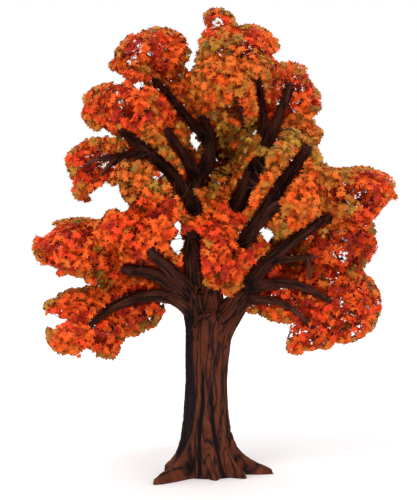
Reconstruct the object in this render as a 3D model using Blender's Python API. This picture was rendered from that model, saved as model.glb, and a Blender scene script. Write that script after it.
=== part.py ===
"""A red maple in autumn leaf: one trunk, its boughs and the masses of foliage that they carry.

Metres, +Z up. The origin is the middle of the flat cut under the trunk, +X is to the tree's right
and +Y is to its back. Run it in Blender 4.5, or with: blender --background --python part.py
"""

import math
from collections import namedtuple

import bmesh
import bpy
import numpy as np
from mathutils import Vector
from mathutils.bvhtree import BVHTree

# ---------------------------------------------------------------- driving dimensions
GAP = 0.0003  # clear gap between two pieces that meet
UP = np.array((0.0, 0.0, 1.0))

# Trunk, from the ground to the crotch where it parts into three prongs
TRUNK_LINE = ((0.0, 0.0, 0.0), (-0.08, 0.0, 0.6), (-0.06, 0.0, 2.6), (0.02, 0.0, 3.9))
TRUNK_HEIGHTS = (0.0, 0.13, 0.28, 0.46, 0.70, 1.05, 1.60, 2.40, 3.10, 3.60, 4.00, 4.25)
TRUNK_RADIUS = 0.49
FOOT_SPREAD, FOOT_FADE = 0.28, 1.20  # swelling of the foot all round, and the height it fades over
CROTCH_SPREAD, CROTCH_START = 0.14, 2.40  # swelling under the crotch, and the height it starts at
CROTCH_DOME = (0.92, 0.55)  # the top two rings draw in to these shares

# Root flare: bearing from +X in degrees, and reach from the trunk's centre line
ROOTS = (
    (0, 1.68), (63, 1.25), (108, 1.10), (153, 1.32),
    (196, 1.15), (230, 2.12), (280, 1.05), (322, 1.22),
)
ROOT_BLUNT, ROOT_FADE = 0.15, 0.32  # height of a root's blunt end, and how fast it climbs the trunk
ROOT_HALF_ANGLE, ROOT_WIDENING = 0.17, 0.14  # radians at the ground, and how much wider it gets above
ROOT_SHAPE = ((-1.0, 0.0), (-0.42, 0.93), (0.42, 0.93), (1.0, 0.0))  # share of half angle, of reach

# Limbs. share: how far along the parent it starts. tip: where it ends. leave, arrive: its climb in
# degrees at its start and at its tip. bow: pull on its middle.
Limb = namedtuple("Limb", "parent share tip leave arrive bow start_radius tip_radius")
PRONGS = {
    "prong_left": Limb("trunk", 0.80, (-0.42, -0.12, 4.75), 78, 88, (0, 0, 0), 0.42, 0.26),
    "prong_centre": Limb("trunk", 0.85, (0.06, 0.10, 5.10), 86, 88, (0, 0, 0), 0.44, 0.30),
    "prong_right": Limb("trunk", 0.80, (0.98, -0.10, 4.72), 66, 50, (0, 0, 0), 0.42, 0.28),
}
BOUGHS = {
    "bough_left_low": Limb("prong_left", 0.58, (-2.95, -0.95, 3.88), 54, -42, (0, 0, 0.12), 0.23, 0.07),
    "bough_left": Limb("prong_left", 0.80, (-2.05, -0.80, 5.28), 45, 0, (0, 0, 0), 0.23, 0.13),
    "bough_left_short": Limb("prong_left", 0.92, (-1.42, -1.15, 5.70), 50, 35, (0, 0, 0), 0.20, 0.12),
    "bough_left_upright": Limb("prong_left", 1.0, (-0.42, -0.40, 6.10), 92, 88, (0, 0, 0), 0.24, 0.16),
    "leader": Limb("prong_centre", 1.0, (-0.28, -0.20, 7.65), 90, 92, (-0.08, 0, 0), 0.30, 0.18),
    "bough_upper_left": Limb("leader", 0.58, (-2.15, -0.90, 8.72), 62, 32, (0, 0, 0), 0.18, 0.10),
    "bough_left_mid": Limb("bough_upper_left", 0.70, (-2.85, -1.10, 8.02), 5, -8, (0, 0, 0), 0.12, 0.06),
    "bough_crown": Limb("leader", 1.0, (-0.16, 0.00, 9.10), 60, 100, (0.3, 0, 0), 0.17, 0.12),
    "bough_crown_left": Limb("bough_crown", 0.66, (-1.42, -0.30, 10.12), 30, 35, (0, 0, 0), 0.12, 0.07),
    "bough_fork_left": Limb("leader", 0.97, (-1.00, -1.05, 8.72), 60, 50, (0, 0, 0), 0.16, 0.10),
    "bough_right_upright": Limb("prong_centre", 1.0, (2.05, -0.60, 9.90), 76, 72, (0, 0, 0), 0.26, 0.10),
    "bough_top": Limb("bough_right_upright", 0.66, (1.28, -0.20, 10.10), 80, 100, (0.15, 0, 0), 0.12, 0.07),
    "bough_right_high": Limb("prong_centre", 0.85, (2.45, -0.95, 8.28), 52, 46, (0.1, 0, -0.1), 0.22, 0.12),
    "bough_right_inner": Limb(
        "bough_right_high", 0.42, (1.75, -1.00, 6.85), 10, 30, (0, -0.3, 0), 0.09, 0.05),
    "bough_right_arch": Limb("prong_right", 1.0, (3.02, -0.88, 6.62), 60, 35, (0, 0, 0), 0.20, 0.09),
    "bough_right_mid": Limb("bough_right_arch", 0.33, (2.58, -1.05, 5.60), 8, 5, (0, 0, 0), 0.11, 0.06),
    "bough_right_low": Limb("prong_right", 0.95, (3.02, -0.85, 4.50), 25, -28, (0, 0, 0.1), 0.17, 0.07),
    "bough_right_lowest": Limb("prong_right", 0.80, (2.34, -0.97, 4.10), 5, -35, (0, 0, 0.1), 0.15, 0.06),
    "bough_front_low": Limb("prong_centre", 0.95, (0.20, -0.95, 5.55), 30, 35, (0, 0, 0), 0.15, 0.09),
    "bough_front_right": Limb("bough_right_high", 0.30, (1.50, -1.75, 6.80), 35, 25, (0, 0, 0), 0.12, 0.07),
    "bough_front_upper": Limb(
        "bough_right_upright", 0.55, (0.85, -1.35, 9.05), 50, 50, (0, 0, 0), 0.12, 0.07),
    "bough_back_low_left": Limb("prong_left", 0.85, (-1.35, 1.60, 5.40), 35, 25, (0, 0, 0), 0.20, 0.09),
    "bough_back_low_right": Limb("prong_right", 0.90, (1.40, 1.60, 5.30), 35, 20, (0, 0, 0), 0.20, 0.09),
    "bough_back_left": Limb("leader", 0.58, (-0.75, 1.65, 7.30), 45, 40, (0, 0, 0), 0.18, 0.09),
    "bough_back_right": Limb("bough_right_upright", 0.30, (1.05, 1.65, 7.20), 45, 40, (0, 0, 0), 0.18, 0.09),
    "bough_back": Limb("prong_centre", 0.85, (0.05, 2.30, 5.90), 35, 20, (0, 0, 0), 0.18, 0.09),
    "bough_back_high": Limb("leader", 0.85, (0.10, 1.35, 9.00), 60, 55, (0, 0, 0), 0.15, 0.08),
}
LIMBS = {**PRONGS, **BOUGHS}
PRONG_SIDES, BOUGH_SIDES = 10, 7
RING_PITCH = 0.55  # distance between the rings of a limb
SWELLING, SWELLING_FADE = 0.22, 1.3  # extra radius where a limb leaves its parent, fading over radii
COLLAR_CLEARANCE = 0.03  # a bough's own piece starts once it is this far from every other limb

# Foliage. Each mass hangs on the tip of one bough and fills one or more rounded lobes:
# (centre, half sizes to the right, back and up, tilt in degrees about Y).
Mass = namedtuple("Mass", "bough lobes")
MASSES = {
    "foliage_left_low": Mass("bough_left_low", (
        ((-3.12, -0.05, 3.93), (1.12, 1.35, 0.96), 0), ((-2.05, 0.55, 4.35), (1.08, 1.50, 0.86), 20),
        ((-3.45, -1.15, 3.65), (0.62, 0.75, 0.52), 0))),
    "foliage_left_wide": Mass("bough_left", (
        ((-3.35, 0.10, 5.85), (1.22, 1.60, 0.78), 0), ((-1.92, 0.75, 5.85), (1.20, 1.60, 0.93), 0),
        ((-3.30, -1.45, 5.70), (0.85, 0.85, 0.64), 0))),
    "foliage_left_mid": Mass("bough_left_mid", (
        ((-2.82, 0.55, 8.08), (0.92, 1.55, 0.68), 0), ((-3.18, -0.05, 7.50), (0.42, 0.55, 0.52), 0))),
    "foliage_left_inner": Mass("bough_left_upright", (((-1.10, 0.30, 7.50), (0.95, 1.50, 1.00), 0),)),
    "foliage_left_upper": Mass("bough_upper_left", (
        ((-2.35, -0.15, 9.40), (1.00, 1.30, 0.70), 0), ((-1.45, 0.70, 9.25), (0.95, 1.45, 0.80), 0))),
    "foliage_upper_left": Mass("bough_crown_left", (
        ((-1.46, 0.10, 10.80), (1.02, 1.20, 0.74), 12), ((-1.55, -1.00, 10.70), (0.70, 0.75, 0.50), 0))),
    "foliage_top": Mass("bough_top", (
        ((1.06, 0.45, 10.80), (0.86, 1.20, 0.88), 0), ((0.24, -0.15, 11.00), (0.66, 0.95, 1.02), 0),
        ((0.95, -1.00, 10.70), (0.68, 0.80, 0.62), 0))),
    "foliage_right_upper": Mass("bough_right_upright", (((2.02, 0.50, 9.80), (0.95, 1.40, 0.92), 0),)),
    "foliage_right_upper_low": Mass("bough_right_high", (((2.12, 0.60, 8.55), (0.98, 1.60, 0.85), 0),)),
    "foliage_right_wide": Mass("bough_right_arch", (
        ((3.70, -0.20, 7.13), (1.20, 1.55, 0.78), 10), ((3.50, -1.55, 7.22), (0.85, 0.85, 0.60), 0))),
    "foliage_right_mid": Mass("bough_right_mid", (((3.42, 0.75, 6.00), (1.10, 1.60, 0.95), 0),)),
    "foliage_right_low": Mass("bough_right_low", (((3.45, 0.30, 4.36), (1.08, 1.55, 1.04), 0),)),
    "foliage_right_low_inner": Mass("bough_right_lowest", (
        ((1.98, 0.40, 4.60), (1.05, 1.50, 0.76), -12), ((2.74, 0.10, 3.66), (0.68, 0.85, 0.55), 0))),
    "foliage_right_inner": Mass("bough_right_inner", (((2.15, 0.45, 6.95), (0.98, 1.50, 0.90), 0),)),
    "foliage_upper_centre": Mass("bough_crown", (((0.22, 0.40, 9.72), (1.20, 1.50, 0.90), 0),)),
    "foliage_front_low": Mass("bough_front_low", (((0.28, -1.75, 5.95), (0.98, 0.95, 1.02), 0),)),
    "foliage_front_left": Mass("bough_left_short", (((-1.55, -2.10, 6.22), (1.15, 1.00, 0.80), 0),)),
    "foliage_front_right": Mass("bough_front_right", (((2.10, -2.40, 7.15), (1.15, 1.05, 0.90), 0),)),
    "foliage_front_upper_left": Mass("bough_fork_left", (((-1.75, -1.80, 9.35), (1.00, 0.95, 0.78), 0),)),
    "foliage_front_upper": Mass("bough_front_upper", (((0.45, -1.95, 9.80), (0.95, 0.95, 0.85), 0),)),
    "foliage_back_low_left": Mass("bough_back_low_left", (((-2.00, 2.50, 5.60), (1.35, 1.20, 0.95), 0),)),
    "foliage_back_low_right": Mass("bough_back_low_right", (((2.05, 2.45, 5.45), (1.35, 1.20, 0.95), 0),)),
    "foliage_back_left": Mass("bough_back_left", (((-1.05, 2.50, 7.60), (1.30, 1.20, 1.05), 0),)),
    "foliage_back_right": Mass("bough_back_right", (
        ((1.55, 2.50, 7.65), (1.30, 1.20, 1.05), 0), ((0.35, 1.15, 8.05), (0.75, 0.70, 0.85), 0))),
    "foliage_back": Mass("bough_back", (((0.15, 3.10, 5.80), (1.30, 1.00, 1.15), 0),)),
    "foliage_back_high": Mass("bough_back_high", (
        ((0.15, 2.05, 9.65), (1.50, 1.20, 0.98), 0), ((0.45, 1.40, 10.75), (0.75, 0.75, 0.58), 0))),
}

# Openings right through the crown for an eye level with its middle and EYE_DISTANCE in front:
# (x, z, half width, half height) on the plane of the trunk
EYE_DISTANCE, EYE_HEIGHT = 34.0, 5.77
OPENINGS = (
    (-0.39, 8.61, 0.13, 0.28), (-1.37, 7.63, 0.07, 0.07), (-0.76, 6.00, 0.14, 0.49),
    (1.52, 6.16, 0.23, 0.23), (-0.40, 11.03, 0.12, 0.42), (-0.95, 4.35, 0.25, 0.25),
)

SEED = 11
LEAVES_PER_AREA = 0.80  # per square metre of a mass's open skin
PLACES_PER_LOBE = 60
LEAF_REACH = 0.80  # share of a lobe's half sizes where the middles of its leaves lie
STEM_START = 0.28  # the first straight stretch of a stem, in line with its bough
# Shares along a stem, and along a leaf's own twig, where a twig may leave, once each
FORKS_ON_STEM = (0.30, 0.42, 0.54, 0.66, 0.77, 0.88, 1.0)
FORKS_ON_TWIG = (0.20, 0.34, 0.48)
SHORTEST_TWIG = 0.28
SHARPEST_BEND = 0.45  # cosine of the sharpest turn that one stem takes; past that it forks
TWIG_RADIUS, TWIG_TIP_RADIUS = 0.022, 0.012  # where it starts, with one leaf to carry, and at that leaf
ROOT_ROOM = 0.44  # a twig's root is at most this share of the radius of the twig it leaves
LEAF_LENGTH = 1.06
LEAF_THICKNESS = 0.032  # share of its length, at the thickest place
# Outline of a leaf round its middle, in shares of its length: stalk end, lobe, notch, tip, notch, lobe
LEAF_OUTLINE = ((0.0, -0.40), (0.52, 0.0), (0.25, 0.18), (0.0, 0.60), (-0.25, 0.18), (-0.52, 0.0))
LEAF_TUMBLE, LEAF_DROOP = 0.34, 0.25  # how unevenly leaves face outward, and how much they hang
LIMB_MARGIN, NEIGHBOUR_MARGIN, SKIN_MARGIN = 0.05, 0.05, 0.06
ATTEMPTS = 24

# name: base colour, roughness
MATERIALS = {
    "bark": ((0.16, 0.062, 0.040), 0.86),
    "bough_bark": ((0.085, 0.036, 0.034), 0.84),
    "leaf_scarlet": ((0.60, 0.075, 0.022), 0.55),
    "leaf_orange": ((0.56, 0.165, 0.030), 0.55),
    "leaf_amber": ((0.50, 0.235, 0.040), 0.55),
}
LEAF_MATERIAL = {
    "leaf_amber": ("foliage_left_low", "foliage_upper_left", "foliage_right_upper_low",
                   "foliage_left_wide", "foliage_right_low_inner", "foliage_front_upper",
                   "foliage_back_left", "foliage_back_low_right"),
    "leaf_orange": ("foliage_top", "foliage_left_inner", "foliage_upper_centre", "foliage_left_mid",
                    "foliage_front_right", "foliage_right_inner", "foliage_right_mid",
                    "foliage_back_high", "foliage_back_low_left", "foliage_front_upper_left"),
}


# ---------------------------------------------------------------- small helpers
def unit(v):
    """The vector v brought to length one."""
    return v / np.linalg.norm(v)


def new_material(name):
    """A Principled material from MATERIALS."""
    colour, roughness = MATERIALS[name]
    material = bpy.data.materials.new(name)
    material.use_nodes = True
    shader = material.node_tree.nodes["Principled BSDF"]
    shader.inputs["Base Color"].default_value = (*colour, 1.0)
    shader.inputs["Roughness"].default_value = roughness
    shader.inputs["Metallic"].default_value = 0.0
    material.diffuse_color = (*colour, 1.0)
    return material


def piece_from_faces(name, points, faces, split=True):
    """A closed mesh object from its points and faces, normals outward; split makes triangles of them."""
    mesh = bpy.data.meshes.new(name)
    mesh.from_pydata([tuple(p) for p in points], [], faces)
    bm = bmesh.new()
    bm.from_mesh(mesh)
    bmesh.ops.recalc_face_normals(bm, faces=bm.faces)
    if split:
        bmesh.ops.triangulate(bm, faces=bm.faces)
    bm.to_mesh(mesh)
    bm.free()
    return bpy.data.objects.new(name, mesh)


def piece_from_rings(name, rings):
    """A closed tube through rings that have the same number of points, flat at both ends."""
    sides = len(rings[0])
    points = np.concatenate(rings)
    faces = [tuple(range(sides)), tuple(range(len(points) - sides, len(points)))]
    for k in range(len(rings) - 1):
        for i in range(sides):
            j = (i + 1) % sides
            faces.append((k * sides + i, k * sides + j, (k + 1) * sides + j, (k + 1) * sides + i))
    return piece_from_faces(name, points, faces, split=False)


def main_shell(bm):
    """Keep the largest shell: this fills sealed hollows and drops loose scraps."""
    bm.verts.ensure_lookup_table()
    unseen, shells = set(bm.verts), []
    while unseen:
        shell, edge = set(), [next(iter(unseen))]
        while edge:
            vert = edge.pop()
            if vert in shell:
                continue
            shell.add(vert)
            edge.extend(e.other_vert(vert) for e in vert.link_edges)
        unseen -= shell
        shells.append(shell)
    largest = max(shells, key=len)
    loose = [v for shell in shells if shell is not largest for v in shell]
    bmesh.ops.delete(bm, geom=loose, context="VERTS")


def fuse(name, pieces, origin, material):
    """Join pieces into one solid with one Boolean union on a collection, and place it at origin."""
    body, rest = pieces[0], pieces[1:]
    bpy.context.scene.collection.objects.link(body)
    if rest:
        group = bpy.data.collections.new(name + "_parts")
        bpy.context.scene.collection.children.link(group)
        for piece in rest:
            group.objects.link(piece)
        union = body.modifiers.new("union", "BOOLEAN")
        union.operation, union.operand_type, union.solver = "UNION", "COLLECTION", "MANIFOLD"
        union.collection = group
        bpy.context.view_layer.update()
        joined = bpy.data.meshes.new_from_object(body.evaluated_get(bpy.context.evaluated_depsgraph_get()))
        body.modifiers.clear()
        body.data = joined
        for piece in rest:
            bpy.data.objects.remove(piece)
        bpy.data.collections.remove(group)
    bm = bmesh.new()
    bm.from_mesh(body.data)
    main_shell(bm)
    bmesh.ops.triangulate(bm, faces=bm.faces)
    bmesh.ops.translate(bm, verts=bm.verts, vec=-Vector(origin))
    bm.to_mesh(body.data)
    bm.free()
    body.name = body.data.name = name
    body.location = origin
    body.data.materials.clear()
    body.data.materials.append(material)
    return body


# ---------------------------------------------------------------- limbs
def curve_points(start, limb):
    """Points along a limb: a cubic curve that leaves and arrives at the limb's climb angles."""
    tip, bow = np.array(limb.tip), np.array(limb.bow)
    flat = unit((tip - start) * (1, 1, 0))
    handle = 0.36 * np.linalg.norm(tip - start)
    leave, arrive = math.radians(limb.leave), math.radians(limb.arrive)
    out = start + handle * (math.cos(leave) * flat + math.sin(leave) * UP) + bow
    back = tip - handle * (math.cos(arrive) * flat + math.sin(arrive) * UP) + bow
    t = np.linspace(0, 1, 61)[:, None]
    return (1 - t) ** 3 * start + 3 * (1 - t) ** 2 * t * out + 3 * (1 - t) * t * t * back + t ** 3 * tip


class Path:
    """The centre line of a limb, measured along its length."""

    def __init__(self, name, points, limb=None):
        self.name, self.limb = name, limb
        self.points = np.array(points, dtype=float)
        steps = np.linalg.norm(np.diff(self.points, axis=0), axis=1)
        self.along = np.concatenate(([0.0], np.cumsum(steps)))
        self.length = self.along[-1]
        flat = (self.points[-1] - self.points[0]) * (1, 1, 0)
        self.side = unit(np.cross(flat, UP))

    def at(self, s):
        """Point on the line."""
        return np.array([np.interp(s, self.along, self.points[:, i]) for i in range(3)])

    def heading(self, s):
        """Direction of the line."""
        return unit(self.at(min(s + 0.02, self.length)) - self.at(max(s - 0.02, 0.0)))

    def radius(self, s):
        """Radius of the limb, swollen where it leaves its parent."""
        limb = self.limb
        if limb is None:
            return TRUNK_RADIUS
        straight = limb.start_radius + (limb.tip_radius - limb.start_radius) * s / self.length
        return straight * (1 + SWELLING * math.exp(-s / (SWELLING_FADE * limb.start_radius)))

    def ring(self, s, sides):
        """Points of the limb's skin at one place."""
        middle, ahead = self.at(s), self.heading(s)
        across = unit(self.side - ahead * (self.side @ ahead))
        third = np.cross(ahead, across)
        turns = [2 * math.pi * (k + 0.5) / sides for k in range(sides)]
        radius = self.radius(s)
        return np.array([middle + radius * (math.cos(a) * across + math.sin(a) * third) for a in turns])

    def stretch(self, first, last, sides):
        """Rings from one place on the line to another."""
        count = max(1, round((last - first) / RING_PITCH))
        return [self.ring(s, sides) for s in np.linspace(first, last, count + 1)]


def all_paths():
    """The centre line of the trunk and of every limb."""
    paths = {"trunk": Path("trunk", TRUNK_LINE)}
    for name, limb in LIMBS.items():
        parent = paths[limb.parent]
        paths[name] = Path(name, curve_points(parent.at(limb.share * parent.length), limb), limb)
    return paths


def limb_samples(paths):
    """Spheres that follow each limb: name, places and radii."""
    samples = {}
    for name, path in paths.items():
        places = np.arange(0.0, path.length, 0.06)
        samples[name] = (np.array([path.at(s) for s in places]),
                         np.array([path.radius(s) for s in places]), places)
    return samples


def collar_length(name, samples):
    """How far along a bough its own piece starts: beyond there it is clear of all but its children."""
    points, radii, places = samples[name]
    blocked = 0.0
    for other, (their_points, their_radii, _) in samples.items():
        if other == name or (other in LIMBS and LIMBS[other].parent == name):
            continue
        apart = np.linalg.norm(points[:, None] - their_points[None], axis=2) - radii[:, None] - their_radii
        close = places[apart.min(axis=1) < COLLAR_CLEARANCE]
        if len(close):
            blocked = max(blocked, close[-1] + 0.06)
    return blocked


def trunk_rings():
    """Rings of the trunk: round at the waist, with a ridge for each root at the foot."""
    line = Path("trunk", TRUNK_LINE)
    rings = []
    for k, height in enumerate(TRUNK_HEIGHTS):
        middle = line.at(min(height, line.length))
        middle[2] = height
        base = TRUNK_RADIUS + FOOT_SPREAD * math.exp(-height / FOOT_FADE)
        base += CROTCH_SPREAD * max(0.0, (height - CROTCH_START) / (TRUNK_HEIGHTS[-1] - CROTCH_START))
        from_top = len(TRUNK_HEIGHTS) - 1 - k
        if from_top < len(CROTCH_DOME):
            base *= CROTCH_DOME[::-1][from_top]
        climb = math.exp(-max(0.0, height - ROOT_BLUNT) / ROOT_FADE)
        half_angle = ROOT_HALF_ANGLE + ROOT_WIDENING * (1 - climb)
        ring = []
        for bearing, reach in ROOTS:
            extra = (reach - TRUNK_RADIUS - FOOT_SPREAD) * climb
            for across, share in ROOT_SHAPE:
                angle = math.radians(bearing) + across * half_angle
                radius = base + extra * share
                ring.append(middle + radius * np.array((math.cos(angle), math.sin(angle), 0.0)))
        rings.append(np.array(ring))
    return rings


def limb_pieces(name, paths, starts, sides):
    """Tubes of the collars of a limb's children: each belongs to the parent's solid."""
    return [piece_from_rings(child, paths[child].stretch(0.0, starts[child], sides))
            for child, limb in BOUGHS.items() if limb.parent == name]


def build_trunk(paths, starts, material):
    """The trunk, its three prongs and the collars of the boughs that leave them."""
    pieces = [piece_from_rings("trunk", trunk_rings())]
    for prong in PRONGS:
        path = paths[prong]
        pieces.append(piece_from_rings(prong, path.stretch(0.0, path.length, PRONG_SIDES)))
        pieces += limb_pieces(prong, paths, starts, BOUGH_SIDES)
    return fuse("trunk", pieces, (0.0, 0.0, 0.0), material)


def build_bough(name, paths, starts, material):
    """One tapering bough from its collar to its tip, with the collars of its children."""
    path = paths[name]
    pieces = [piece_from_rings(name, path.stretch(starts[name] + GAP, path.length, BOUGH_SIDES))]
    pieces += limb_pieces(name, paths, starts, BOUGH_SIDES)
    return fuse(name, pieces, tuple(path.at(starts[name])), material)


# ---------------------------------------------------------------- foliage
def lobe_frame(lobe):
    """Centre, half sizes and the three axes of a lobe."""
    centre, half, tilt = lobe
    turn = math.radians(tilt)
    axes = np.array(((math.cos(turn), 0, math.sin(turn)), (0, 1, 0), (-math.sin(turn), 0, math.cos(turn))))
    return np.array(centre), np.array(half), axes


def lobe_area(lobe):
    """Area of a lobe's skin."""
    a, b, c = (h ** 1.6 for h in lobe[1])
    return 4 * math.pi * ((a * b + a * c + b * c) / 3) ** (1 / 1.6)


def outside_of(mass, points):
    """How far points lie outside the nearest lobe of a mass; inside it is below zero."""
    best = np.full(len(points), np.inf)
    for lobe in mass.lobes:
        centre, half, axes = lobe_frame(lobe)
        offset = (points - centre) @ axes.T
        share = np.linalg.norm(offset / half, axis=1)
        reach = np.linalg.norm(offset, axis=1)
        best = np.minimum(best, reach * (1 - 1 / np.maximum(share, 1e-6)))
    return best


def spiral(count, turn):
    """Directions spread evenly over a ball by the golden angle."""
    k = np.arange(count) + 0.5
    z = 1 - 2 * k / count
    angle = k * math.pi * (3 - math.sqrt(5)) + turn
    flat = np.sqrt(1 - z * z)
    return np.stack((flat * np.cos(angle), flat * np.sin(angle), z), axis=1)


def on_lobe(lobe, directions, share):
    """Places at a share of the way from a lobe's centre to its skin."""
    centre, half, axes = lobe_frame(lobe)
    return centre + (directions * half * share) @ axes


def free(name, points, radius, samples, skin=SKIN_MARGIN):
    """Whether points stay in the mass's own space, off every limb and out of the openings."""
    own = outside_of(MASSES[name], points)
    if own.max() > skin:
        return False
    for other, mass in MASSES.items():
        if other != name:
            theirs = outside_of(mass, points)
            if (np.maximum(theirs - own, theirs - SKIN_MARGIN) < NEIGHBOUR_MARGIN + radius).any():
                return False
    for places, radii, _ in samples.values():
        apart = np.linalg.norm(points[:, None] - places[None], axis=2) - radii
        if apart.min() < LIMB_MARGIN + radius:
            return False
    scale = EYE_DISTANCE / (EYE_DISTANCE + points[:, 1])
    x, z = points[:, 0] * scale, EYE_HEIGHT + (points[:, 2] - EYE_HEIGHT) * scale
    return not any((np.abs(x - cx) / w + np.abs(z - cz) / h < 1).any() for cx, cz, w, h in OPENINGS)


class Twig:
    """One straight twig: where it starts and ends, the twig it leaves, and the leaf on its end."""

    def __init__(self, start, end, parent=None, share=1.0, leaf=None):
        self.start, self.end, self.parent, self.share, self.leaf = start, end, parent, share, leaf
        self.travel = parent.travel + parent.length * share if parent else 0.0
        self.load, self.radii = 0, None
        self.ahead = unit(end - start)
        self.length = np.linalg.norm(end - start)
        self.forks = list(FORKS_ON_STEM if leaf is None else FORKS_ON_TWIG)

    def at(self, share):
        """Place at a share of the way along."""
        return self.start + (self.end - self.start) * share


def best_fork(twigs, place, sharpest):
    """The twig that a new twig to place had best leave, and at which share of its length."""
    best, chosen = np.inf, None
    for twig in twigs:
        for share in twig.forks:
            step = place - twig.at(share)
            reach = np.linalg.norm(step)
            if reach < SHORTEST_TWIG or twig.ahead @ (step / reach) < sharpest:
                continue
            cost = reach + 0.35 * (twig.travel + twig.length * share)
            if cost < best:
                best, chosen = cost, (twig, share)
    return chosen


def grow_stem(name, path, samples):
    """The stem: from the tip of the bough to the heart of each lobe in turn."""
    tip, ahead = path.points[-1], path.heading(path.length)
    lobes = sorted(MASSES[name].lobes, key=lambda lobe: np.linalg.norm(lobe[0] - tip))
    stems = [Twig(tip + ahead * GAP, tip + ahead * STEM_START)]
    for lobe in lobes:
        heart = np.array(lobe[0])
        fork = min((stem.end for stem in stems), key=lambda end: np.linalg.norm(end - heart))
        parent = next(stem for stem in stems if stem.end is fork)
        for share in (0.9, 0.7, 0.5, 0.3):
            end = fork + (heart - fork) * share
            line = np.linspace(fork, end, 9)[1:]
            if free(name, line, 0.06, samples, skin=2.0):
                stems.append(Twig(fork, end, parent))
                break
    return stems


def leaf_shape(middle, tipward, face, length):
    """Outline of a leaf, from its middle, its plane and the way its tip points."""
    across = np.cross(tipward, face)
    return np.array([middle + length * (x * across + y * tipward) for x, y in LEAF_OUTLINE])


def leaf_samples(outline, middle):
    """Points spread over a leaf."""
    ring = np.roll(outline, -1, axis=0)
    spread = [middle + (outline - middle) * t for t in (0.3, 0.6, 0.85, 1.0)]
    spread += [middle + ((outline + ring) / 2 - middle) * t for t in (0.5, 0.8, 1.0)]
    return np.concatenate(spread)


def net_of(outline, middle, start):
    """A search tree over a leaf and its twig, for finding crossings."""
    sides = len(outline)
    beside = start + unit(np.cross(middle - start, outline[1] - start)) * TWIG_RADIUS
    points = [Vector(p) for p in (*outline, middle, start + (middle - start) * 0.12, beside)]
    faces = [(k, (k + 1) % sides, sides) for k in range(sides)] + [(sides, sides + 1, sides + 2)]
    return BVHTree.FromPolygons(points, faces)


def skin_places(name, samples, rng):
    """Places spread over the open skin of a mass, the way out from each, and the area they stand for."""
    places, outward, area = [], [], 0.0
    for lobe in MASSES[name].lobes:
        centre, half, _ = lobe_frame(lobe)
        for place in on_lobe(lobe, spiral(PLACES_PER_LOBE, rng.uniform(0, 6.3)), LEAF_REACH):
            if free(name, place[None], 0.10, samples):
                places.append(place)
                outward.append(unit((place - centre) / half ** 2))
                area += lobe_area(lobe) / PLACES_PER_LOBE
    return np.array(places), np.array(outward), area


def grow_leaf(name, place, outward, twigs, nets, samples, rng):
    """A twig with a leaf on its end, from the best fork to place; False if none fits there."""
    for attempt in range(ATTEMPTS):
        slack = attempt / ATTEMPTS
        middle = place + rng.normal(size=3) * 0.15 * slack
        chosen = best_fork(twigs, middle, 0.25 - 0.5 * slack)
        if chosen is None:
            continue
        parent, share = chosen
        fork = parent.at(share)
        face = unit(outward + rng.normal(size=3) * LEAF_TUMBLE)
        if face @ unit(middle - fork) < 0.45:
            continue
        hang = outward + rng.normal(size=3) * 0.5 - UP * LEAF_DROOP
        tipward = unit(hang - face * (hang @ face))
        length = LEAF_LENGTH * rng.uniform(0.92, 1.08) * (1 - 0.35 * slack)
        outline = leaf_shape(middle, tipward, face, length)
        line = np.linspace(fork, middle, 9)[1:]
        if not (free(name, leaf_samples(outline, middle), 0.0, samples)
                and free(name, line, TWIG_RADIUS, samples)):
            continue
        net = net_of(outline, middle, fork)
        if any(net.overlap(other) for other in nets):
            continue
        parent.forks.remove(share)
        twigs.append(Twig(fork, middle - face * length * LEAF_THICKNESS, parent, share, outline))
        nets.append(net)
        return True
    return False


def grow_mass(name, path, samples, rng):
    """Twigs from the stem to the skin of each lobe, the emptiest place first, each ending in a leaf."""
    twigs = grow_stem(name, path, samples)
    nets = []
    places, outward, area = skin_places(name, samples, rng)
    wanted = round(area * LEAVES_PER_AREA)
    room = 10.0 - np.linalg.norm(places - path.points[-1], axis=1)
    while len(nets) < wanted and room.max() > 0:
        k = int(np.argmax(room))
        if grow_leaf(name, places[k], outward[k], twigs, nets, samples, rng):
            room = np.minimum(room, np.linalg.norm(places - places[k], axis=1))
        room[k] = 0.0
    return twigs


def ring_around(middle, directions, radius):
    """Points round a middle in the given directions."""
    return np.array([middle + radius * unit(d) for d in directions])


def leafy_twig(twig):
    """One closed piece: a three-sided twig that opens out into the back of its leaf."""
    across, tipward = unit(twig.leaf[1] - twig.leaf[5]), unit(twig.leaf[3] - twig.leaf[0])
    spokes = [0.87 * across - 0.5 * tipward, tipward, -0.87 * across - 0.5 * tipward]
    flat = [spoke - twig.ahead * (spoke @ twig.ahead) for spoke in spokes]
    corners = np.vstack((ring_around(twig.start, flat, twig.radii[0]),
                         ring_around(twig.end, spokes, twig.radii[1]), twig.leaf))
    faces = [(0, 1, 2), tuple(range(6, 12))]
    for i in range(3):
        j = (i + 1) % 3
        first, second, third = 6 + 2 * i, 7 + 2 * i, 6 + (2 * i + 2) % 6
        faces += [(i, j, 3 + j, 3 + i), (3 + i, first, second),
                  (3 + i, second, third), (3 + i, third, 3 + j)]
    return piece_from_faces("twig", corners, faces)


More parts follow.
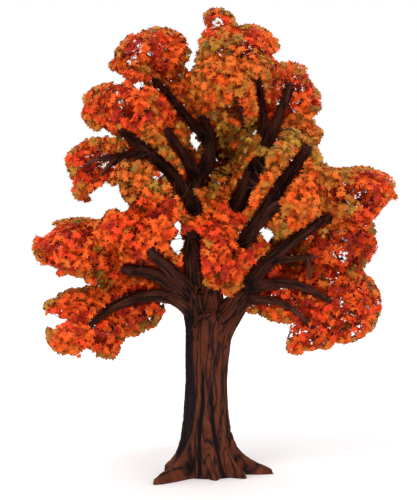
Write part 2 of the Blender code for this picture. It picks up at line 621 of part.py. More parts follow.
def stem_tube(chain):
    """A closed three-sided tube along stretches of the stem, pointed at its end."""
    points = [chain[0].start] + [twig.end for twig in chain]
    radii = [chain[0].radii[0]] + [twig.radii[1] for twig in chain]
    bends = [unit(before.ahead + after.ahead) for before, after in zip(chain, chain[1:])]
    aheads = [chain[0].ahead, *bends, chain[-1].ahead]
    side = np.cross(aheads[-1], UP if abs(aheads[-1][2]) < 0.8 else np.array((1.0, 0.0, 0.0)))
    corners, faces = [], [(0, 1, 2)]
    for point, radius, ahead in zip(points, radii, aheads):
        across = unit(side - ahead * (side @ ahead))
        third = np.cross(ahead, across)
        corners += [point + radius * (math.cos(a) * across + math.sin(a) * third)
                    for a in (0.0, 2 * math.pi / 3, 4 * math.pi / 3)]
    corners.append(points[-1] + aheads[-1] * radii[-1] * 1.5)
    for k in range(len(points) - 1):
        for i in range(3):
            j = (i + 1) % 3
            faces.append((3 * k + i, 3 * k + j, 3 * k + 3 + j, 3 * k + 3 + i))
    last = 3 * (len(points) - 1)
    faces += [(last + i, last + (i + 1) % 3, last + 3) for i in range(3)]
    return piece_from_faces("stem", corners, faces)


def mass_pieces(twigs, stem_radius):
    """The closed pieces of one mass, each as thick as the leaves it carries ask for."""
    for twig in twigs:
        step = twig if twig.leaf is not None else None
        while step is not None:
            step.load += 1
            step = step.parent
    chains, leafy = [], []
    for twig in twigs:
        if twig.load == 0:
            continue
        wanted = TWIG_RADIUS * math.sqrt(twig.load)
        first, last = twig.parent.radii if twig.parent else (stem_radius, stem_radius)
        room = first + (last - first) * twig.share
        if twig.leaf is not None:
            twig.radii = (min(wanted, ROOT_ROOM * room), TWIG_TIP_RADIUS)
            leafy.append(leafy_twig(twig))
            continue
        chain = next((chain for chain in chains if chain[-1] is twig.parent
                      and twig.ahead @ twig.parent.ahead > SHARPEST_BEND), None)
        if chain is None and chains:
            room *= ROOT_ROOM
        twig.radii = (room, min(wanted, 0.8 * room))
        if chain:
            chain.append(twig)
        else:
            chains.append([twig])
    return [stem_tube(chain) for chain in chains] + leafy


def build_mass(name, paths, samples, seed, material):
    """One mass of foliage: twigs from one stem, each with a leaf on its end."""
    path = paths[MASSES[name].bough]
    twigs = grow_mass(name, path, samples, np.random.default_rng(seed))
    pieces = mass_pieces(twigs, path.radius(path.length) * 0.86)
    return fuse(name, pieces, tuple(path.points[-1]), material)


# ---------------------------------------------------------------- build
for old in list(bpy.data.objects):
    bpy.data.objects.remove(old)

materials = {name: new_material(name) for name in MATERIALS}
tree = bpy.data.objects.new("red_maple", None)
bpy.context.scene.collection.objects.link(tree)

paths = all_paths()
samples = limb_samples(paths)
starts = {name: collar_length(name, samples) for name in BOUGHS}
nodes = [build_trunk(paths, starts, materials["bark"])]
for name in BOUGHS:
    nodes.append(build_bough(name, paths, starts, materials["bough_bark"]))
for number, name in enumerate(MASSES):
    tint = next((tint for tint, names in LEAF_MATERIAL.items() if name in names), "leaf_scarlet")
    nodes.append(build_mass(name, paths, samples, SEED + number, materials[tint]))
for node in nodes:
    node.parent = tree

for name in ("trunk", *BOUGHS):
    limb = bpy.data.objects[name]
    limb.data.shade_smooth()
    limb.data.set_sharp_from_angle(angle=math.radians(50))
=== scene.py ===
import math
from types import SimpleNamespace as Values

import bpy
import numpy as np
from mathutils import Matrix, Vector, noise


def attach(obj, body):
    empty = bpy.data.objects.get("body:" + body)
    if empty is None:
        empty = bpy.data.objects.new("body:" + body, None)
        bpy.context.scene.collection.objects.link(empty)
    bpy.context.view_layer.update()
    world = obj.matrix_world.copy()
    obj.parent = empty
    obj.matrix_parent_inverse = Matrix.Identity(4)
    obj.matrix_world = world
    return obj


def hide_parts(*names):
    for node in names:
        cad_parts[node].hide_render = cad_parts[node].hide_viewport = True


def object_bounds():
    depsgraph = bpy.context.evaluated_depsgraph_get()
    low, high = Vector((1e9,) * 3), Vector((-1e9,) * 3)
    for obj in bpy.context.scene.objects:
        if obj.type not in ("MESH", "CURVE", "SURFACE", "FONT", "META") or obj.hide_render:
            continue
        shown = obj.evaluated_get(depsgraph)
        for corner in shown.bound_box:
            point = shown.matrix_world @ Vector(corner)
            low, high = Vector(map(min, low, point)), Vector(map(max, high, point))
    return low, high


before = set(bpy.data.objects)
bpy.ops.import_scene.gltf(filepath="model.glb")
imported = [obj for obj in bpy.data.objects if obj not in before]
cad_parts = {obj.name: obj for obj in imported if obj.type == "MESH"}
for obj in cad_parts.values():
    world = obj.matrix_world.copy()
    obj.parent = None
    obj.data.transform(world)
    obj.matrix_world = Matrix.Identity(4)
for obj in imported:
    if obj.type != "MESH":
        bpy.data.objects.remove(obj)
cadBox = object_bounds()
up = np.array((0.0, 0.0, 1.0))
print("frame loaded")

view = Values(
    distance=34.0,  # metres in front of the trunk
    height=5.77,  # of the eye, level with the middle of the tree
    fieldHeight=12.887,  # height of the picture at the trunk
    sensor=36.0,  # millimetres, for the long side of the picture
    farthest=500,
)
studio = Values(
    floorSize=600.0,
    floorHeight=-0.001,
    floorColour=(0.90, 0.90, 0.90),
    floorRoughness=0.9,
    worldColour=(1.0, 1.0, 1.0),
    worldStrength=1.0,
    lampDistance=30,
    lamps={  # heading the light comes from, strength, softness in degrees
        "key": ((-0.55, -1.0, 0.95), 1.5, 30.0),
        "fill": ((0.9, -0.5, 0.5), 0.5, 60.0),
        "back": ((0.3, 1.0, 0.9), 0.6, 60.0),
    },
)


def deselectAll():
    if bpy.context.object and bpy.context.object.mode != "OBJECT":
        bpy.ops.object.mode_set(mode="OBJECT")
    bpy.ops.object.select_all(action="DESELECT")


def addStudio():
    deselectAll()
    bpy.ops.object.camera_add(location=(0, -view.distance, view.height),
                              rotation=(math.radians(90), 0, 0))
    camera = bpy.context.object
    camera.data.sensor_width = view.sensor
    camera.data.lens = view.sensor * view.distance / view.fieldHeight
    camera.data.clip_end = view.farthest
    bpy.context.scene.camera = camera

    bpy.ops.mesh.primitive_plane_add(size=studio.floorSize, location=(0, 0, studio.floorHeight))
    floor = bpy.context.object
    floor.name = "floor"
    paint = plainMaterial("floorPaint", studio.floorColour, studio.floorRoughness)
    floor.data.materials.append(paint)

    for name, (heading, strength, softness) in studio.lamps.items():
        bpy.ops.object.light_add(type="SUN", location=Vector(heading) * studio.lampDistance,
                                 rotation=Vector(heading).to_track_quat("Z", "Y").to_euler())
        lamp = bpy.context.object
        lamp.name = name
        lamp.data.energy = strength
        lamp.data.angle = math.radians(softness)

    world = bpy.data.worlds.new("studioWorld")
    world.use_nodes = True
    background = world.node_tree.nodes["Background"]
    background.inputs["Color"].default_value = (*studio.worldColour, 1)
    background.inputs["Strength"].default_value = studio.worldStrength
    bpy.context.scene.world = world
    bpy.context.scene.view_settings.view_transform = "Standard"


plainShine = 0.12


def plainMaterial(name, colour, roughness):
    material = bpy.data.materials.new(name)
    material.use_nodes = True
    shader = material.node_tree.nodes["Principled BSDF"]
    shader.inputs["Base Color"].default_value = (*colour, 1)
    shader.inputs["Roughness"].default_value = roughness
    shader.inputs["Specular IOR Level"].default_value = plainShine
    return material


# Limbs: parent, share of the parent's length where it starts, tip, climb in degrees at its start
# and at its tip, radius at its start and at its tip, and the pull on its middle if there is one
limbs = {
    "prong_left": ("trunk", 0.8, (-0.42, -0.12, 4.75), 78, 88, 0.42, 0.26),
    "prong_centre": ("trunk", 0.85, (0.06, 0.1, 5.1), 86, 88, 0.44, 0.3),
    "prong_right": ("trunk", 0.8, (0.98, -0.1, 4.72), 66, 50, 0.42, 0.28),
    "bough_left_low": ("prong_left", 0.58, (-2.95, -0.95, 3.88), 54, -42, 0.23, 0.07, (0, 0, 0.12)),
    "bough_left": ("prong_left", 0.8, (-2.05, -0.8, 5.28), 45, 0, 0.23, 0.13),
    "bough_left_short": ("prong_left", 0.92, (-1.42, -1.15, 5.7), 50, 35, 0.2, 0.12),
    "bough_left_upright": ("prong_left", 1.0, (-0.42, -0.4, 6.1), 92, 88, 0.24, 0.16),
    "leader": ("prong_centre", 1.0, (-0.28, -0.2, 7.65), 90, 92, 0.3, 0.18, (-0.08, 0, 0)),
    "bough_upper_left": ("leader", 0.58, (-2.15, -0.9, 8.72), 62, 32, 0.18, 0.1),
    "bough_left_mid": ("bough_upper_left", 0.7, (-2.85, -1.1, 8.02), 5, -8, 0.12, 0.06),
    "bough_crown": ("leader", 1.0, (-0.16, 0.0, 9.1), 60, 100, 0.17, 0.12, (0.3, 0, 0)),
    "bough_crown_left": ("bough_crown", 0.66, (-1.42, -0.3, 10.12), 30, 35, 0.12, 0.07),
    "bough_fork_left": ("leader", 0.97, (-1.0, -1.05, 8.72), 60, 50, 0.16, 0.1),
    "bough_right_upright": ("prong_centre", 1.0, (2.05, -0.6, 9.9), 76, 72, 0.26, 0.1),
    "bough_top": ("bough_right_upright", 0.66, (1.28, -0.2, 10.1), 80, 100, 0.12, 0.07, (0.15, 0, 0)),
    "bough_right_high": ("prong_centre", 0.85, (2.45, -0.95, 8.28), 52, 46, 0.22, 0.12, (0.1, 0, -0.1)),
    "bough_right_inner": ("bough_right_high", 0.42, (1.75, -1.0, 6.85), 10, 30, 0.09, 0.05, (0, -0.3, 0)),
    "bough_right_arch": ("prong_right", 1.0, (3.02, -0.88, 6.62), 60, 35, 0.2, 0.09),
    "bough_right_mid": ("bough_right_arch", 0.33, (2.58, -1.05, 5.6), 8, 5, 0.11, 0.06),
    "bough_right_low": ("prong_right", 0.95, (3.02, -0.85, 4.5), 25, -28, 0.17, 0.07, (0, 0, 0.1)),
    "bough_right_lowest": ("prong_right", 0.8, (2.34, -0.97, 4.1), 5, -35, 0.15, 0.06, (0, 0, 0.1)),
    "bough_front_low": ("prong_centre", 0.95, (0.2, -0.95, 5.55), 30, 35, 0.15, 0.09),
    "bough_front_right": ("bough_right_high", 0.3, (1.5, -1.75, 6.8), 35, 25, 0.12, 0.07),
    "bough_front_upper": ("bough_right_upright", 0.55, (0.85, -1.35, 9.05), 50, 50, 0.12, 0.07),
    "bough_back_low_left": ("prong_left", 0.85, (-1.35, 1.6, 5.4), 35, 25, 0.2, 0.09),
    "bough_back_low_right": ("prong_right", 0.9, (1.4, 1.6, 5.3), 35, 20, 0.2, 0.09),
    "bough_back_left": ("leader", 0.58, (-0.75, 1.65, 7.3), 45, 40, 0.18, 0.09),
    "bough_back_right": ("bough_right_upright", 0.3, (1.05, 1.65, 7.2), 45, 40, 0.18, 0.09),
    "bough_back": ("prong_centre", 0.85, (0.05, 2.3, 5.9), 35, 20, 0.18, 0.09),
    "bough_back_high": ("leader", 0.85, (0.1, 1.35, 9.0), 60, 55, 0.15, 0.08),
}
# Smaller limbs on the boughs, in the same terms
twigs = {
    "finger_left_mid": ("bough_left_mid", 0.48, (-2.68, -1.18, 7.6), -35, -60, 0.085, 0.055),
    "finger_left_inner": ("bough_left_mid", 0.14, (-2.12, -1.12, 7.52), -50, -62, 0.085, 0.055),
    "twig_crown": ("bough_crown", 0.93, (0.66, -0.35, 9.4), 50, 0, 0.06, 0.022),
    "hook_right_left": ("bough_right_upright", 0.62, (0.66, -0.62, 8.28), 60, -75, 0.07, 0.03, (0, 0, 0.16)),
    "hook_right_right": ("bough_right_upright", 0.5, (1.48, -0.75, 7.8), -25, 40, 0.06, 0.03,
                         (0, 0, -0.05)),
    "hook_top_right": ("bough_right_upright", 0.99, (1.78, -0.72, 10.02), 70, -60, 0.075, 0.045,
                       (0, 0, 0.1)),
    "hook_top_left": ("bough_top", 0.97, (1.12, -0.3, 9.92), 50, -80, 0.05, 0.028, (-0.05, 0, 0.14)),
    "finger_high_left": ("bough_right_high", 0.72, (1.86, -0.98, 8.22), 80, 70, 0.1, 0.06),
    "finger_high_right": ("bough_right_high", 0.93, (2.62, -1.05, 8.22), 20, -15, 0.09, 0.04),
    "twig_high": ("bough_right_high", 0.22, (1.66, -1.1, 6.86), 12, 35, 0.055, 0.03),
    "twig_arch_up": ("bough_right_arch", 0.93, (2.62, -0.98, 6.62), 100, 120, 0.05, 0.02),
    "twig_arch_down": ("bough_right_arch", 0.99, (3.26, -1.05, 5.52), -70, -60, 0.06, 0.035),
    "twig_arch_end": ("twig_arch_down", 0.97, (2.9, -1.1, 5.6), -60, 100, 0.045, 0.025, (0, 0, -0.05)),
    "twig_mid_down": ("bough_right_mid", 0.9, (2.52, -1.12, 5.02), -60, -80, 0.075, 0.05),
    "twig_low_end": ("bough_right_lowest", 0.97, (2.52, -1.0, 3.78), -10, -80, 0.05, 0.025),
}
limbShape = Values(
    bend=0.36,  # reach of the curve's handles, in shares of the limb's length
    swelling=0.22,  # extra radius where a limb leaves its parent
    swellingFade=1.3,  # over this many radii
    crook=0.035,  # metres that a bough wanders from its curve
    crookLength=0.75,
    crookApart=7.3,  # from one limb's drift to the next in the noise
    crookSeed=7,  # without it, noise_vector draws by the clock
    points=61,
    headingSpan=0.05,
)
trunk = Values(
    line=((0.0, 0.0, 0.0), (-0.08, 0.0, 0.6), (-0.06, 0.0, 2.6), (0.02, 0.0, 3.9)),
    heights=(0, 0.06, 0.13, 0.20, 0.28, 0.37, 0.46, 0.57, 0.70, 0.86, 1.05, 1.3, 1.6, 2.0, 2.4,
                2.8, 3.1, 3.35, 3.6, 3.8, 4.0, 4.15, 4.25),
    sides=128,
    radius=0.49,
    footSpread=0.32,
    footFade=1.20,
    crotchSpread=0.14,
    crotchStart=2.40,
    dome=(0.92, 0.78, 0.55),  # the top three rings draw in to these shares
    roots=((0, 1.68), (63, 1.25), (108, 1.10), (153, 1.32), (196, 1.15), (230, 2.12), (280, 1.05),
              (322, 1.22)),  # bearing from +X in degrees, reach from the centre line
    rootBlunt=0.15,
    rootFade=0.32,
    rootHalfAngle=0.17,
    rootWidening=0.14,
    rootRoundness=1.2,
)
cages = {  # each limb's rings, then the grid and smoothing of the joined bark
    "trunk": {"sides": 12, "spacing": 0.25, "voxel": 0.021, "smoothing": 6},
    "boughs": {"sides": 8, "spacing": 0.22, "voxel": 0.025, "smoothing": 3},
}
cageLevels = 2
lines = {}  # centre line of each limb, filled in below


sampling = Values(
    pitch=0.04,  # metres along a limb
    ballPitch=0.05,
    search=0.5,  # metres round points where limbs are looked for
    bareSearch=0.4,
    barkBatch=20000,  # points at a time
    roomBatch=4000,
)


def unit(v):
    return v / np.linalg.norm(v, axis=-1, keepdims=True)


def nearBox(points, others, margin):  # which points lie within the margin of the others' box
    return np.all((points > others.min(0) - margin) & (points < others.max(0) + margin), axis=1)


def addLine(name, points, startRadius, tipRadius):
    steps = np.linalg.norm(np.diff(points, axis=0), axis=1)
    along = np.concatenate(([0.0], np.cumsum(steps)))
    lines[name] = Values(points=points, along=along, length=along[-1], startRadius=startRadius,
                         tipRadius=tipRadius)


def placeOn(line, s):
    return np.stack([np.interp(s, line.along, line.points[:, i]) for i in range(3)], axis=-1)


def headingOn(line, s):
    ahead = np.minimum(s + limbShape.headingSpan, line.length)
    behind = np.maximum(s - limbShape.headingSpan, 0.0)
    return unit(placeOn(line, ahead) - placeOn(line, behind))


def radiusOn(line, s):
    first, last = line.startRadius, line.tipRadius
    straight = first + (last - first) * s / line.length
    return straight * (1 + limbShape.swelling * np.exp(-s / (limbShape.swellingFade * first)))


def wander(t, length, seed):  # a smooth sideways drift that is nothing at both ends
    places = t * length / limbShape.crookLength
    drift = [noise.noise_vector(Vector((p, limbShape.crookApart * seed, 0.5))) for p in places]
    return np.array(drift) * (limbShape.crook * np.sin(math.pi * t))[:, None]


def limbCurve(start, tip, leave, arrive, bow, seed):
    flat = unit((tip - start) * (1, 1, 0))
    length = np.linalg.norm(tip - start)
    handle = limbShape.bend * length
    leave, arrive = math.radians(leave), math.radians(arrive)
    out = start + handle * (math.cos(leave) * flat + math.sin(leave) * up) + bow
    back = tip - handle * (math.cos(arrive) * flat + math.sin(arrive) * up) + bow
    t = np.linspace(0, 1, limbShape.points)
    u = t[:, None]
    curve = (1 - u) ** 3 * start + 3 * (1 - u) ** 2 * u * out + 3 * (1 - u) * u * u * back + u ** 3 * tip
    return curve + wander(t, length, seed)


def layOutLimbs():
    addLine("trunk", np.array(trunk.line), trunk.radius, trunk.radius)
    for seed, (name, limb) in enumerate({**limbs, **twigs}.items()):
        parent, share, tip, leave, arrive, startRadius, tipRadius, *pull = limb
        start = placeOn(lines[parent], share * lines[parent].length)
        bow = np.array(pull[0] if pull else (0, 0, 0))
        addLine(name, limbCurve(start, np.array(tip), leave, arrive, bow, seed), startRadius, tipRadius)


def sampleLimbs():  # balls along every limb: places and radii
    places, radii = [], []
    for line in lines.values():
        s = np.arange(0.0, line.length, sampling.ballPitch)
        places.append(placeOn(line, s))
        radii.append(radiusOn(line, s))
    return np.concatenate(places), np.concatenate(radii)


def startCage(sides, radius, place=(0, 0, 0), turn=(0, 0, 0)):  # one ring, ready to extrude
    deselectAll()
    bpy.ops.mesh.primitive_circle_add(vertices=sides, radius=radius, fill_type="NGON", location=place,
                                      rotation=turn)
    bpy.ops.object.mode_set(mode="EDIT")
    bpy.ops.mesh.select_all(action="SELECT")
    return bpy.context.object


def closeCage():
    bpy.ops.mesh.select_all(action="SELECT")
    bpy.ops.mesh.normals_make_consistent(inside=False)
    bpy.ops.object.mode_set(mode="OBJECT")


def drawLimb(name, line, sides, spacing):  # a ring extruded along the limb, ring by ring
    count = max(3, round(line.length / spacing))
    stops = np.linspace(0, line.length, count + 1)
    cage = 3 / (2 + math.cos(2 * math.pi / sides))  # what the smoothing draws in
    points = [Vector(p) for p in placeOn(line, stops)]
    headings = [Vector(h) for h in headingOn(line, stops)]
    radii = radiusOn(line, stops) * cage
    limb = startCage(sides, radii[0], points[0], headings[0].to_track_quat("Z", "Y").to_euler())
    limb.name = name
    for k in range(1, len(points)):
        bpy.ops.mesh.extrude_region_move(TRANSFORM_OT_translate={"value": points[k] - points[k - 1]})
        for axis, turn in zip("XYZ", headings[k - 1].rotation_difference(headings[k]).to_euler("XYZ")):
            bpy.ops.transform.rotate(value=-turn, orient_axis=axis, center_override=points[k])
        ratio = radii[k] / radii[k - 1]
        bpy.ops.transform.resize(value=(ratio, ratio, ratio), center_override=points[k])
    closeCage()
    bpy.ops.object.transform_apply(location=True, rotation=True, scale=True)
    return limb


def applyModifier(piece, kind, **settings):
    bpy.context.view_layer.objects.active = piece
    modifier = piece.modifiers.new(kind.lower(), kind)
    for key, value in settings.items():
        setattr(modifier, key, value)
    bpy.ops.object.modifier_apply(modifier=modifier.name)


def readVectors(items, key):
    flat = np.empty(len(items) * 3)
    items.foreach_get(key, flat)
    return flat.reshape(-1, 3)


def joinPieces(pieces, name):
    deselectAll()
    for piece in pieces:
        piece.select_set(True)
    bpy.context.view_layer.objects.active = pieces[0]
    bpy.ops.object.join()
    joined = bpy.context.object
    joined.name = joined.data.name = name
    return joined


def trunkGirth(height):  # radius between the roots
    girth = trunk.radius + trunk.footSpread * math.exp(-height / trunk.footFade)
    top = trunk.heights[-1]
    girth += trunk.crotchSpread * max(0.0, (height - trunk.crotchStart) / (top - trunk.crotchStart))
    fromTop = len(trunk.heights) - 1 - trunk.heights.index(height)
    return girth * (trunk.dome[::-1][fromTop] if fromTop < len(trunk.dome) else 1)


def rootReach(bearing, height):  # how far a root stands out there
    climb = math.exp(-max(0.0, height - trunk.rootBlunt) / trunk.rootFade)
    halfAngle = trunk.rootHalfAngle + trunk.rootWidening * (1 - climb)
    out = 0.0
    for rootBearing, reach in trunk.roots:
        across = (bearing - math.radians(rootBearing) + math.pi) % (2 * math.pi) - math.pi
        share = min(1.0, abs(across) / halfAngle)
        rounding = (1 - share ** 2) ** trunk.rootRoundness
        out += (reach - trunk.radius - trunk.footSpread) * climb * rounding
    return out


def drawTrunk():
    line = lines["trunk"]
    heights = trunk.heights
    centres = [Vector((*placeOn(line, min(h, line.length))[:2], h)) for h in heights]
    piece = startCage(trunk.sides, trunkGirth(0))
    for k in range(1, len(heights)):
        bpy.ops.mesh.extrude_region_move(TRANSFORM_OT_translate={"value": centres[k] - centres[k - 1]})
        ratio = trunkGirth(heights[k]) / trunkGirth(heights[k - 1])
        bpy.ops.transform.resize(value=(ratio, ratio, 1), center_override=centres[k])
    closeCage()
    for vertex in piece.data.vertices:  # pull the roots out of the foot
        middle = placeOn(line, min(vertex.co.z, line.length))
        bearing = math.atan2(vertex.co.y - middle[1], vertex.co.x - middle[0])
        out = rootReach(bearing, vertex.co.z)
        vertex.co.x += out * math.cos(bearing)
        vertex.co.y += out * math.sin(bearing)
    return piece


bark = Values(
    # Metres between furrows, metres that one runs along the limb, and how narrow it is
    ridges={"width": 0.13, "run": 0.95, "sharpness": 0.22},
    plates={"width": 0.05, "run": 0.30, "sharpness": 0.35},
    plateShift=5,  # keeps the plates off the ridges' pattern
    ridgeDepth=0.024,
    plateDepth=0.008,
    ridgeRise=0.4,  # share of the depth that ridges stand out
    # Painted shade: how dark the furrows are painted on the trunk and on the boughs, and how dark the
    # plates' furrows
    trunkDark=0.55,
    boughDark=0.7,
    plateDark=0.25,
    fluteDark=0.035,  # depth at which a flute's painted shade is darkest
    fork=(0.1, -0.05, 4.2),  # where the boughs part; bark is younger and darker away from it
    agingStart=0.6,
    aging=1.5,
    oldBelow=3.6,
    thinBough=0.30,  # radius under which furrows get shallower and closer, down to the least share
    leastShare=0.35,
    flatFoot=0.05,  # metres over the ground without relief, for a flat cut
    grainRun=0.16,  # how far the grain is drawn out along the limb
    boughField=0.3,  # metres round a limb's box where bark is measured from it
    trunkField=2.5,
    rootBend=0.75,  # metres from the trunk's centre line where its furrows turn out along the roots
    sway=5,  # degrees that a flute wanders, and how often in a metre
    swayPace=1.3,
    swayApart=5.1,
    swayLevels=(0, 5, 60),  # heights where it is worked out: lowest, highest, how many
    fluteTurn=1.6,
    fluteEnd=0.25,  # share of its height over which it runs out
    # Flutes that run up the trunk from between the roots: bearing at the ground, bearing at its top,
    # height of its top, half width, depth
    flutes=((220, 207, 4.6, 0.185, 0.062), (252, 261, 2.9, 0.040, 0.042), (304, 286, 2.7, 0.040, 0.042),
               (341, 338, 1.8, 0.045, 0.040), (31, 24, 2.4, 0.045, 0.040), (85, 92, 2.0, 0.045, 0.040),
               (130, 122, 2.6, 0.045, 0.042), (175, 168, 2.2, 0.045, 0.040)),
)


def limbFrame(points, names, level):  # for each point: offset across its limb, place along it, radius
    best = np.full(len(points), np.inf)
    across, along, radius = np.zeros((len(points), 2)), np.zeros(len(points)), np.zeros(len(points))
    for name in names:
        line = lines[name]
        s = np.arange(0.0, line.length, sampling.pitch)
        middles, radii, headings = placeOn(line, s), radiusOn(line, s), headingOn(line, s)
        side = unit(np.cross(headings, (0.2, 1.0, 0.1)))
        third = np.cross(headings, side)
        reach = radii.max() + (bark.trunkField if level else bark.boughField)
        chosen = np.nonzero(nearBox(points, middles, reach))[0]
        for first in range(0, len(chosen), sampling.barkBatch):
            part = chosen[first:first + sampling.barkBatch]
            offsets = np.linalg.norm(points[part, None] - middles[None], axis=2)
            near = np.argmin(offsets, axis=1)
            closeness = offsets[np.arange(len(near)), near] - radii[near]
            better = closeness < best[part]
            part, near, closeness = part[better], near[better], closeness[better]
            step = points[part] - middles[near]
            best[part] = closeness
            radius[part] = radii[near]
            if level:  # the trunk and its prongs: straight across at the same height
                x, y, z = line.points.T
                axis = [np.interp(points[part, 2], z, values) for values in (x, y)]
                flat = points[part, :2] - np.stack(axis, axis=1)
                out = np.maximum(np.linalg.norm(flat, axis=1), bark.rootBend)
                across[part] = flat * (bark.rootBend / out)[:, None] ** (out > bark.rootBend)[:, None]
                along[part] = points[part, 2] - (out - bark.rootBend)
            else:
                flat = np.stack(((step * side[near]).sum(1), (step * third[near]).sum(1)), axis=1)
                across[part] = flat
                along[part] = s[near] + (step * headings[near]).sum(1)
    return across, along, radius


def furrow(across, along, width, run, sharpness):  # 1 in a furrow, 0 on a ridge
    values = np.array([noise.noise(Vector((a / width, b / width, s / run)))
                       for (a, b), s in zip(across, along)])
    return np.clip(1 - np.abs(values) / sharpness, 0, 1)


def flutes(points):  # how deep each point lies in the trunk's flutes
    depth = np.zeros(len(points))
    middles = placeOn(lines["trunk"], np.clip(points[:, 2], 0, lines["trunk"].length))
    step = points - middles
    bearing = np.degrees(np.arctan2(step[:, 1], step[:, 0]))
    reach = np.hypot(step[:, 0], step[:, 1])
    levels = np.linspace(*bark.swayLevels)
    for number, (low, high, top, halfWidth, deep) in enumerate(bark.flutes):
        sway = [bark.sway * noise.noise(Vector((number * bark.swayApart, z * bark.swayPace, 0)))
                for z in levels]
        share = np.clip(points[:, 2] / top, 0, 1)
        middle = low + (high - low) * np.minimum(1, share * bark.fluteTurn)
        middle = middle + np.interp(points[:, 2], levels, sway)
        apart = np.radians((bearing - middle + 180) % 360 - 180) * reach
        fade = np.clip((1 - points[:, 2] / top) / bark.fluteEnd, 0, 1)
        depth += deep * fade * np.exp(-(apart / halfWidth) ** 2)
    return depth


def carveBark(piece, names, isTrunk):
    mesh = piece.data
    points = readVectors(mesh.vertices, "co")
    across, along, radius = limbFrame(points, names, isTrunk)
    scale = np.clip(radius / bark.thinBough, bark.leastShare, 1.0)
    main = furrow(across / scale[:, None], along, **bark.ridges)
    plates = furrow(across / scale[:, None] + bark.plateShift, along, **bark.plates)
    depth = (bark.ridgeDepth * main ** 0.7 + bark.plateDepth * plates) * scale
    # painted shade: the furrows and plates are painted darker the deeper they are carved
    furrowShade = (bark.trunkDark if isTrunk else bark.boughDark) * main ** 0.8 + bark.plateDark * plates
    if isTrunk:
        deep = flutes(points)
        depth += deep
        # painted shade in the flutes, darker the deeper they run
        furrowShade += deep / bark.fluteDark
        depth *= np.clip(points[:, 2] / bark.flatFoot, 0, 1)
    rise = bark.ridgeDepth * bark.ridgeRise * scale
    moved = points - readVectors(mesh.vertex_normals, "vector") * (depth - rise)[:, None]
    moved[:, 2] = np.maximum(moved[:, 2], 0.0)
    mesh.vertices.foreach_set("co", moved.ravel())
    fromFork = np.linalg.norm(points - bark.fork, axis=1) - bark.agingStart
    young = np.where(points[:, 2] < bark.oldBelow, 0, np.clip(fromFork / bark.aging, 0, 1))
    grain = np.column_stack((across, along * bark.grainRun))
    # the furrow attribute carries that painted shade of the furrows, plates and flutes
    for name, values in (("furrow", np.clip(furrowShade, 0, 1)), ("young", young)):
        mesh.attributes.new(name, "FLOAT", "POINT").data.foreach_set("value", values)
    mesh.attributes.new("grain", "FLOAT_VECTOR", "POINT").data.foreach_set("vector", grain.ravel())
    mesh.update()


barkLooks = {  # colours from the ridges down into the furrows: the bark's own colour on the ridges, darkening to painted shade in the furrows
    "old": ((0.12, 0.03, 0.013), (0.072, 0.019, 0.01), (0.009, 0.005, 0.005)),
    "young": ((0.128, 0.038, 0.021), (0.072, 0.023, 0.015), (0.014, 0.007, 0.006)),
}
barkStops = (0.22, 0.52, 0.95)  # where those colours lie
barkNodes = {
    "streaks": {"Scale": 26.0, "Detail": 5.0, "Roughness": 0.65},
    "patches": {"Scale": 3.1, "Detail": 3.0},
    "tone": {"From Min": 0.3, "From Max": 0.7, "To Min": 0.78, "To Max": 1.2},  # patches of a metre or so
    "bump": {"Strength": 0.7, "Distance": 0.012},
    "shader": {"Roughness": 0.85, "Specular IOR Level": 0.08},
}
streakShare = 0.55  # how far the streaks break up the furrows' painted shade


def barkMaterial(name):
    material = bpy.data.materials.new(name)
    material.use_nodes = True
    tree = material.node_tree

    def feed(made, inputs):  # an output is linked, a number is set
        for key, value in inputs.items():
            if isinstance(value, bpy.types.NodeSocket):
                tree.links.new(value, made.inputs[key])
            else:
                made.inputs[key].default_value = value

    def node(kind, inputs, **settings):
        made = tree.nodes.new("ShaderNode" + kind)
        for key, value in settings.items():
            setattr(made, key, value)
        feed(made, inputs)
        return made

    # the furrow attribute is the painted shade of the furrows, plates and flutes
    grain, depth, young = (node("Attribute", {}, attribute_name=key) for key in ("grain", "furrow", "young"))
    place = node("TexCoord", {})
    streaks = node("TexNoise", {"Vector": grain.outputs["Vector"], **barkNodes["streaks"]})
    patches = node("TexNoise", {"Vector": place.outputs["Object"], **barkNodes["patches"]})
    mixed = node("Math", {0: streaks.outputs["Fac"], 1: streakShare, 2: depth.outputs["Fac"]},
                 operation="MULTIPLY_ADD")
    blend = node("Mix", {"Factor": young.outputs["Fac"]}, data_type="RGBA")
    for socket, (ridge, slope, deep) in zip((6, 7), barkLooks.values()):
        ramp = node("ValToRGB", {"Fac": mixed.outputs["Value"]})
        stops = ramp.color_ramp.elements
        stops[0].position, stops[0].color = barkStops[0], (*ridge, 1)
        stops[1].position, stops[1].color = barkStops[2], (*deep, 1)
        stops.new(barkStops[1]).color = (*slope, 1)
        feed(blend, {socket: ramp.outputs["Color"]})
    tone = node("MapRange", {"Value": patches.outputs["Fac"], **barkNodes["tone"]})
    tinted = node("VectorMath", {0: blend.outputs[2], "Scale": tone.outputs["Result"]}, operation="SCALE")
    bump = node("Bump", {"Height": streaks.outputs["Fac"], **barkNodes["bump"]})
    feed(tree.nodes["Principled BSDF"], {"Base Color": tinted.outputs["Vector"],
                                         "Normal": bump.outputs["Normal"], **barkNodes["shader"]})
    return material


def drawLimbs(names, cage):
    pieces = []
    for name in names:
        piece = drawLimb(name, lines[name], cage["sides"], cage["spacing"])
        applyModifier(piece, "SUBSURF", levels=cageLevels, render_levels=cageLevels)
        pieces.append(piece)
    return pieces


